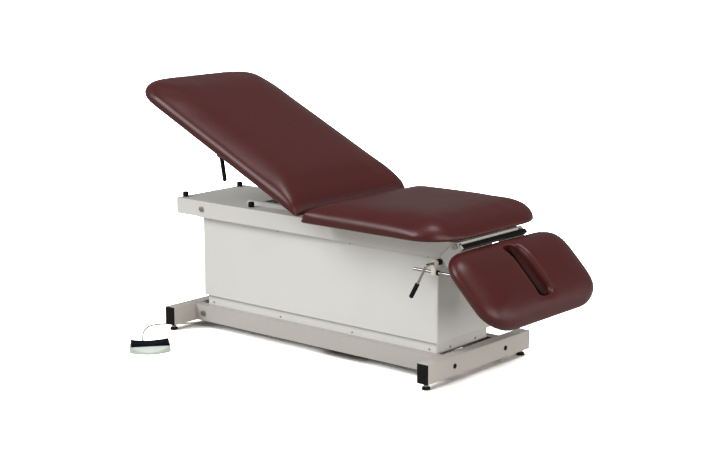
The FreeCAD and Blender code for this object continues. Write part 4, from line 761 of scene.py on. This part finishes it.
def levelling_feet():
    """Rubber-padded feet with their hexagon collars."""
    for end, x in (("head", -FOOT_X), ("foot", FOOT_X)):
        for side, y in (("near", -FOOT_Y), ("far", FOOT_Y)):
            node = "levelling_foot_" + end + "_" + side
            pad = turned(node + "_pad", (x, y, 0.0), FOOT_STEPS)
            dress(pad, "rubber", node, node)
            collar = turned(node + "_collar", (x, y, 0.0), COLLAR_STEPS, HEXAGON_SIDES)
            dress(collar, "steel", node)


def bumper_set():
    """Rubber bumpers under the back section, with rounded tips."""
    for row, x in enumerate(BUMPER_X):
        for side, y in (("near", -BUMPER_Y), ("far", BUMPER_Y)):
            bumper = turned("bumper_" + str(row + 1) + "_" + side, (x, y, BUMPER_FOOT), BUMPER_STEPS)
            dress(bumper, "rubber", "top", "bumpers")


def cut_along(piece, cuts):
    """Splits the long edges of a block into equal lengths."""
    pick(piece, "EDGE", lambda edge: runs_along(edge, LENGTHWAYS))
    bpy.ops.mesh.subdivide(number_cuts=cuts)
    leave_edit()


def on_floor(piece):
    """Moves a piece of the foot control from its own frame to its place on the floor."""
    piece.location = (*PEDAL_CENTRE, 0.0)
    piece.rotation_euler = (0.0, 0.0, math.radians(PEDAL_TURN))
    return smooth(settle(piece))


def bay_cutter():
    """Plug in the shape of the rocker's bay."""
    low = (-ROCKER_HALF - BAY_SIDE_GAP, ROCKER_FRONT - BAY_FRONT_GAP, BAY_FLOOR)
    high = (ROCKER_HALF + BAY_SIDE_GAP, PEDAL_REAR + BAY_PAST_REAR, BAY_TOP)
    return block("rocker_bay", low, high)


def shape_shell(shell):
    """Bows the shell's front forwards in the middle, and slopes its top up to the rear."""
    for point in shell.data.vertices:
        if point.co.y < PEDAL_FRONT + SKIN:
            point.co.y += PEDAL_BOW * (point.co.x / PEDAL_HALF) ** 2
        if point.co.z > PEDAL_EDGE / 2:
            point.co.z = min(PEDAL_TOP, PEDAL_EDGE + PEDAL_SLOPE * (point.co.y - PEDAL_FRONT))


def pedal_shell():
    """Pale wedge-shaped shell of the foot control with a bay for the rocker."""
    shell = block("pedal_shell", (-PEDAL_HALF, PEDAL_FRONT, 0.0), (PEDAL_HALF, PEDAL_REAR, PEDAL_EDGE))
    round_edges(shell, lambda edge: runs_along(edge, UPRIGHT) and middle_of(edge).y > 0.0, PEDAL_CORNER,
                segments=5)
    cut_along(shell, cuts=17)
    bored(shell, bay_cutter())
    shape_shell(shell)
    soften(shell, PEDAL_ROUND, segments=3, sharp=PEDAL_SHARP)
    return dress(on_floor(shell), "pedal_plastic", "base", "pedal_base")


def shape_rocker(bar):
    """Dips the rocker's top in the middle, slopes it to the rear and rounds its belly."""
    for point in bar.data.vertices:
        middle = 1.0 - (point.co.x / ROCKER_HALF) ** 2
        if point.co.z > ROCKER_TOP - SKIN:
            point.co.z -= ROCKER_DIP * middle
            point.co.z += ROCKER_SLOPE * (point.co.y - ROCKER_FRONT)
        else:
            point.co.z -= ROCKER_BELLY * middle


def rocker_bar():
    """Dark rocker, dipped in the middle, that tips to either side."""
    low = (-ROCKER_HALF, ROCKER_FRONT, ROCKER_BOTTOM)
    bar = block("rocker_bar", low, (ROCKER_HALF, ROCKER_REAR, ROCKER_TOP))
    cut_along(bar, cuts=23)
    shape_rocker(bar)
    soften(bar, ROCKER_ROUND, segments=4, sharp=PEDAL_SHARP)
    return dress(on_floor(bar), "navy_plastic", "pedal_rocker", "pedal_rocker")


def strain_relief():
    """Ribbed sleeve that tapers from the foot control's rear down to the cord."""
    sleeve = turned("cord_sleeve", (0.0, 0.0, 0.0), RELIEF_STEPS)
    across(sleeve, (RELIEF_SIDE, PEDAL_REAR, RELIEF_HEIGHT))
    return dress(on_floor(sleeve), "cord_jacket", "base", "strain_relief")


def round_line(name, route, radius, steps, sides):
    """Curve with a round section on one smooth line along a route."""
    line = bpy.data.curves.new(name + "_line", "CURVE")
    line.dimensions = "3D"
    spline = line.splines.new("NURBS")
    spline.points.add(len(route) - 1)
    for point, place in zip(spline.points, route):
        point.co = (*place, 1.0)
    spline.order_u = LINE_ORDER
    spline.use_endpoint_u = True
    spline.resolution_u = steps
    line.bevel_depth = radius
    line.bevel_resolution = sides
    line.use_fill_caps = True
    piece = bpy.data.objects.new(name, line)
    bpy.context.scene.collection.objects.link(piece)
    return piece


def handle_bar():
    """Bent chrome lever of the drop lock."""
    select_only(round_line("clamp_handle_bar", HANDLE_ROUTE, HANDLE_RADIUS, steps=6, sides=5))
    bpy.ops.object.convert(target="MESH")
    return dress(smooth(bpy.context.object), "chrome", "clamp_lever", "clamp_lever")


def grip_steps():
    """Radius and height at each step of the ribbed grip."""
    steps = [(GRIP_RADIUS * share, height) for share, height in GRIP_START]
    for rib in range(GRIP_RIBS):
        start = GRIP_FIRST_RIB + rib * GRIP_PITCH
        steps += [(GRIP_RADIUS * share, start + GRIP_PITCH * part) for share, part in GRIP_RIB]
    return steps + [(GRIP_RADIUS * share, GRIP_LAST + height) for share, height in GRIP_TIP]


def handle_grip():
    """Ribbed grip on the end of the lever."""
    way = Vector(HANDLE_ROUTE[-1]) - Vector(HANDLE_ROUTE[-2])
    grip = turned("clamp_handle_grip", (0.0, 0.0, 0.0), grip_steps())
    grip.location = Vector(HANDLE_ROUTE[-1]) - way.normalized() * (GRIP_LAST - GRIP_SEAT)
    grip.rotation_euler = way.to_track_quat("Z", "Y").to_euler()
    return dress(settle(grip), "rubber", "clamp_lever", "clamp_grip")


def shaft_cutter():
    """Plug for the bore that the lever's shaft runs in."""
    plug = turned("shaft_bore", (0.0, 0.0, 0.0), [(SHAFT_BORE, 0.0), (SHAFT_BORE, BORE_LENGTH)])
    return across(plug, (HUB[0], SHAFT_START, HUB[1]))


def rod_cutter():
    """Plug for the bore that the lock rod slides in."""
    plug = turned("rod_bore", (0.0, 0.0, 0.0), [(ROD_BORE, 0.0), (ROD_BORE, BORE_LENGTH)])
    plug.rotation_euler = (0.0, math.pi / 2, 0.0)
    plug.location = (HUB[0] - BORE_LENGTH / 2, ROD_SIDE, ROD_HEIGHT)
    return settle(plug)


def clamp_body():
    """Ivory clamp block with a rounded head, bored for its shaft and for the lock rod."""
    half = CLAMP_WIDTH / 2
    low = (HUB[0] - half, CLAMP_SPAN[0], ROD_HEIGHT - half)
    body = block("clamp_body", low, (HUB[0] + half, CLAMP_SPAN[1], HUB[1] + half))
    round_edges(body, lambda edge: runs_along(edge, ACROSS) and middle_of(edge).z > HUB[1],
                half * CLAMP_HEAD_SHARE, segments=8)
    round_edges(body, lambda edge: runs_along(edge, ACROSS) and middle_of(edge).z < ROD_HEIGHT,
                CLAMP_FOOT, segments=3)
    bored(body, shaft_cutter())
    bored(body, rod_cutter())
    soften(body, CLAMP_ROUND, segments=2, sharp=CLAMP_SHARP)
    return dress(smooth(body), "ivory_plastic", "clamp_block", "clamp_block")


def clamp_hub():
    """Black hub between the tray's ear and the clamp block."""
    hub = turned("clamp_hub", (0.0, 0.0, 0.0), HUB_STEPS)
    return dress(across(hub, (HUB[0], HUB_OUTER, HUB[1])), "black_plastic", "top", "clamp_washer")


def pedal_cord():
    """Pedal cord on one smooth line."""
    piece = round_line("foot_control_cord", CORD_ROUTE, CORD_RADIUS, steps=8, sides=4)
    return dress(piece, "cord_jacket", "base", "pedal_cord")


def camera():
    """Camera turned round the table to the photograph's angle."""
    azimuth = math.radians(CAMERA_AZIMUTH)
    elevation = math.radians(CAMERA_ELEVATION)
    away = Vector((math.sin(azimuth) * math.cos(elevation), -math.cos(azimuth) * math.cos(elevation),
                   math.sin(elevation)))
    bpy.ops.object.camera_add(location=Vector(CAMERA_TARGET) + away * CAMERA_DISTANCE,
                              rotation=(math.pi / 2 - elevation, 0.0, azimuth))
    eye = bpy.context.object
    eye.data.lens = CAMERA_LENS
    eye.data.sensor_width = CAMERA_SENSOR
    bpy.context.scene.camera = eye


def sun_lamp(name, away, strength, spread):
    """Even light from one side, softened by its spread."""
    bpy.ops.object.light_add(type="SUN", location=Vector(away) * LAMP_DISTANCE)
    lamp = bpy.context.object
    lamp.name = name
    lamp.rotation_euler = Vector(away).to_track_quat("Z", "Y").to_euler()
    lamp.data.energy = strength
    lamp.data.angle = math.radians(spread)
    return lamp


def floor():
    """Pale studio floor: lifted to white for the eye, dark only where the table keeps the light away."""
    bpy.ops.object.select_all(action="DESELECT")
    bpy.ops.mesh.primitive_plane_add(size=FLOOR_SIZE, location=(0.0, 0.0, 0.0))
    piece = bpy.context.object
    piece.name = "studio_floor"
    finish = Finish("studio_floor", FLOOR_LIT, roughness=1.0)
    open_share = finish.node("ShaderNodeAmbientOcclusion", {"samples": SHADOW_SAMPLES},
                             {"Distance": SHADOW_REACH}, "AO")
    seen = finish.between(finish.range(open_share, *SHADOW_SPAN), FLOOR_SHADE, FLOOR_SEEN)
    finish.set("Base Color", finish.between(finish.rays("Camera"), FLOOR_LIT, seen))
    piece.data.materials.append(finish.material)


def studio():
    """Surroundings that are white for the eye and grey in reflections, and soft lamps."""
    world = bpy.data.worlds.new("studio")
    world.use_nodes = True
    bpy.context.scene.world = world
    web = Web(world.node_tree)
    level = web.between(web.rays("Glossy") + web.rays("Transmission"), AMBIENT, MIRRORED)
    level = web.between(web.rays("Camera"), level, BACKGROUND)
    web.feed(world.node_tree.nodes["Background"].inputs["Color"], level)
    sun_lamp("key_lamp", KEY_FROM, KEY_STRENGTH, KEY_SPREAD)
    fill = sun_lamp("fill_lamp", FILL_FROM, FILL_STRENGTH, FILL_SPREAD)
    fill.data.color = FILL_COLOUR
    sun_lamp("rear_lamp", REAR_FROM, REAR_STRENGTH, REAR_SPREAD)
    sun_lamp("top_lamp", TOP_FROM, TOP_STRENGTH, TOP_SPREAD)


bpy.context.scene.view_settings.view_transform = "Standard"
camera()
floor()
studio()
dress_nodes()
pedal_cord()
pedal_shell()
rocker_bar()
strain_relief()
levelling_feet()
bumper_set()
handle_bar()
handle_grip()
clamp_body()
clamp_hub()
for cushion in (seat_cushion(), back_cushion(), drop_cushion()):
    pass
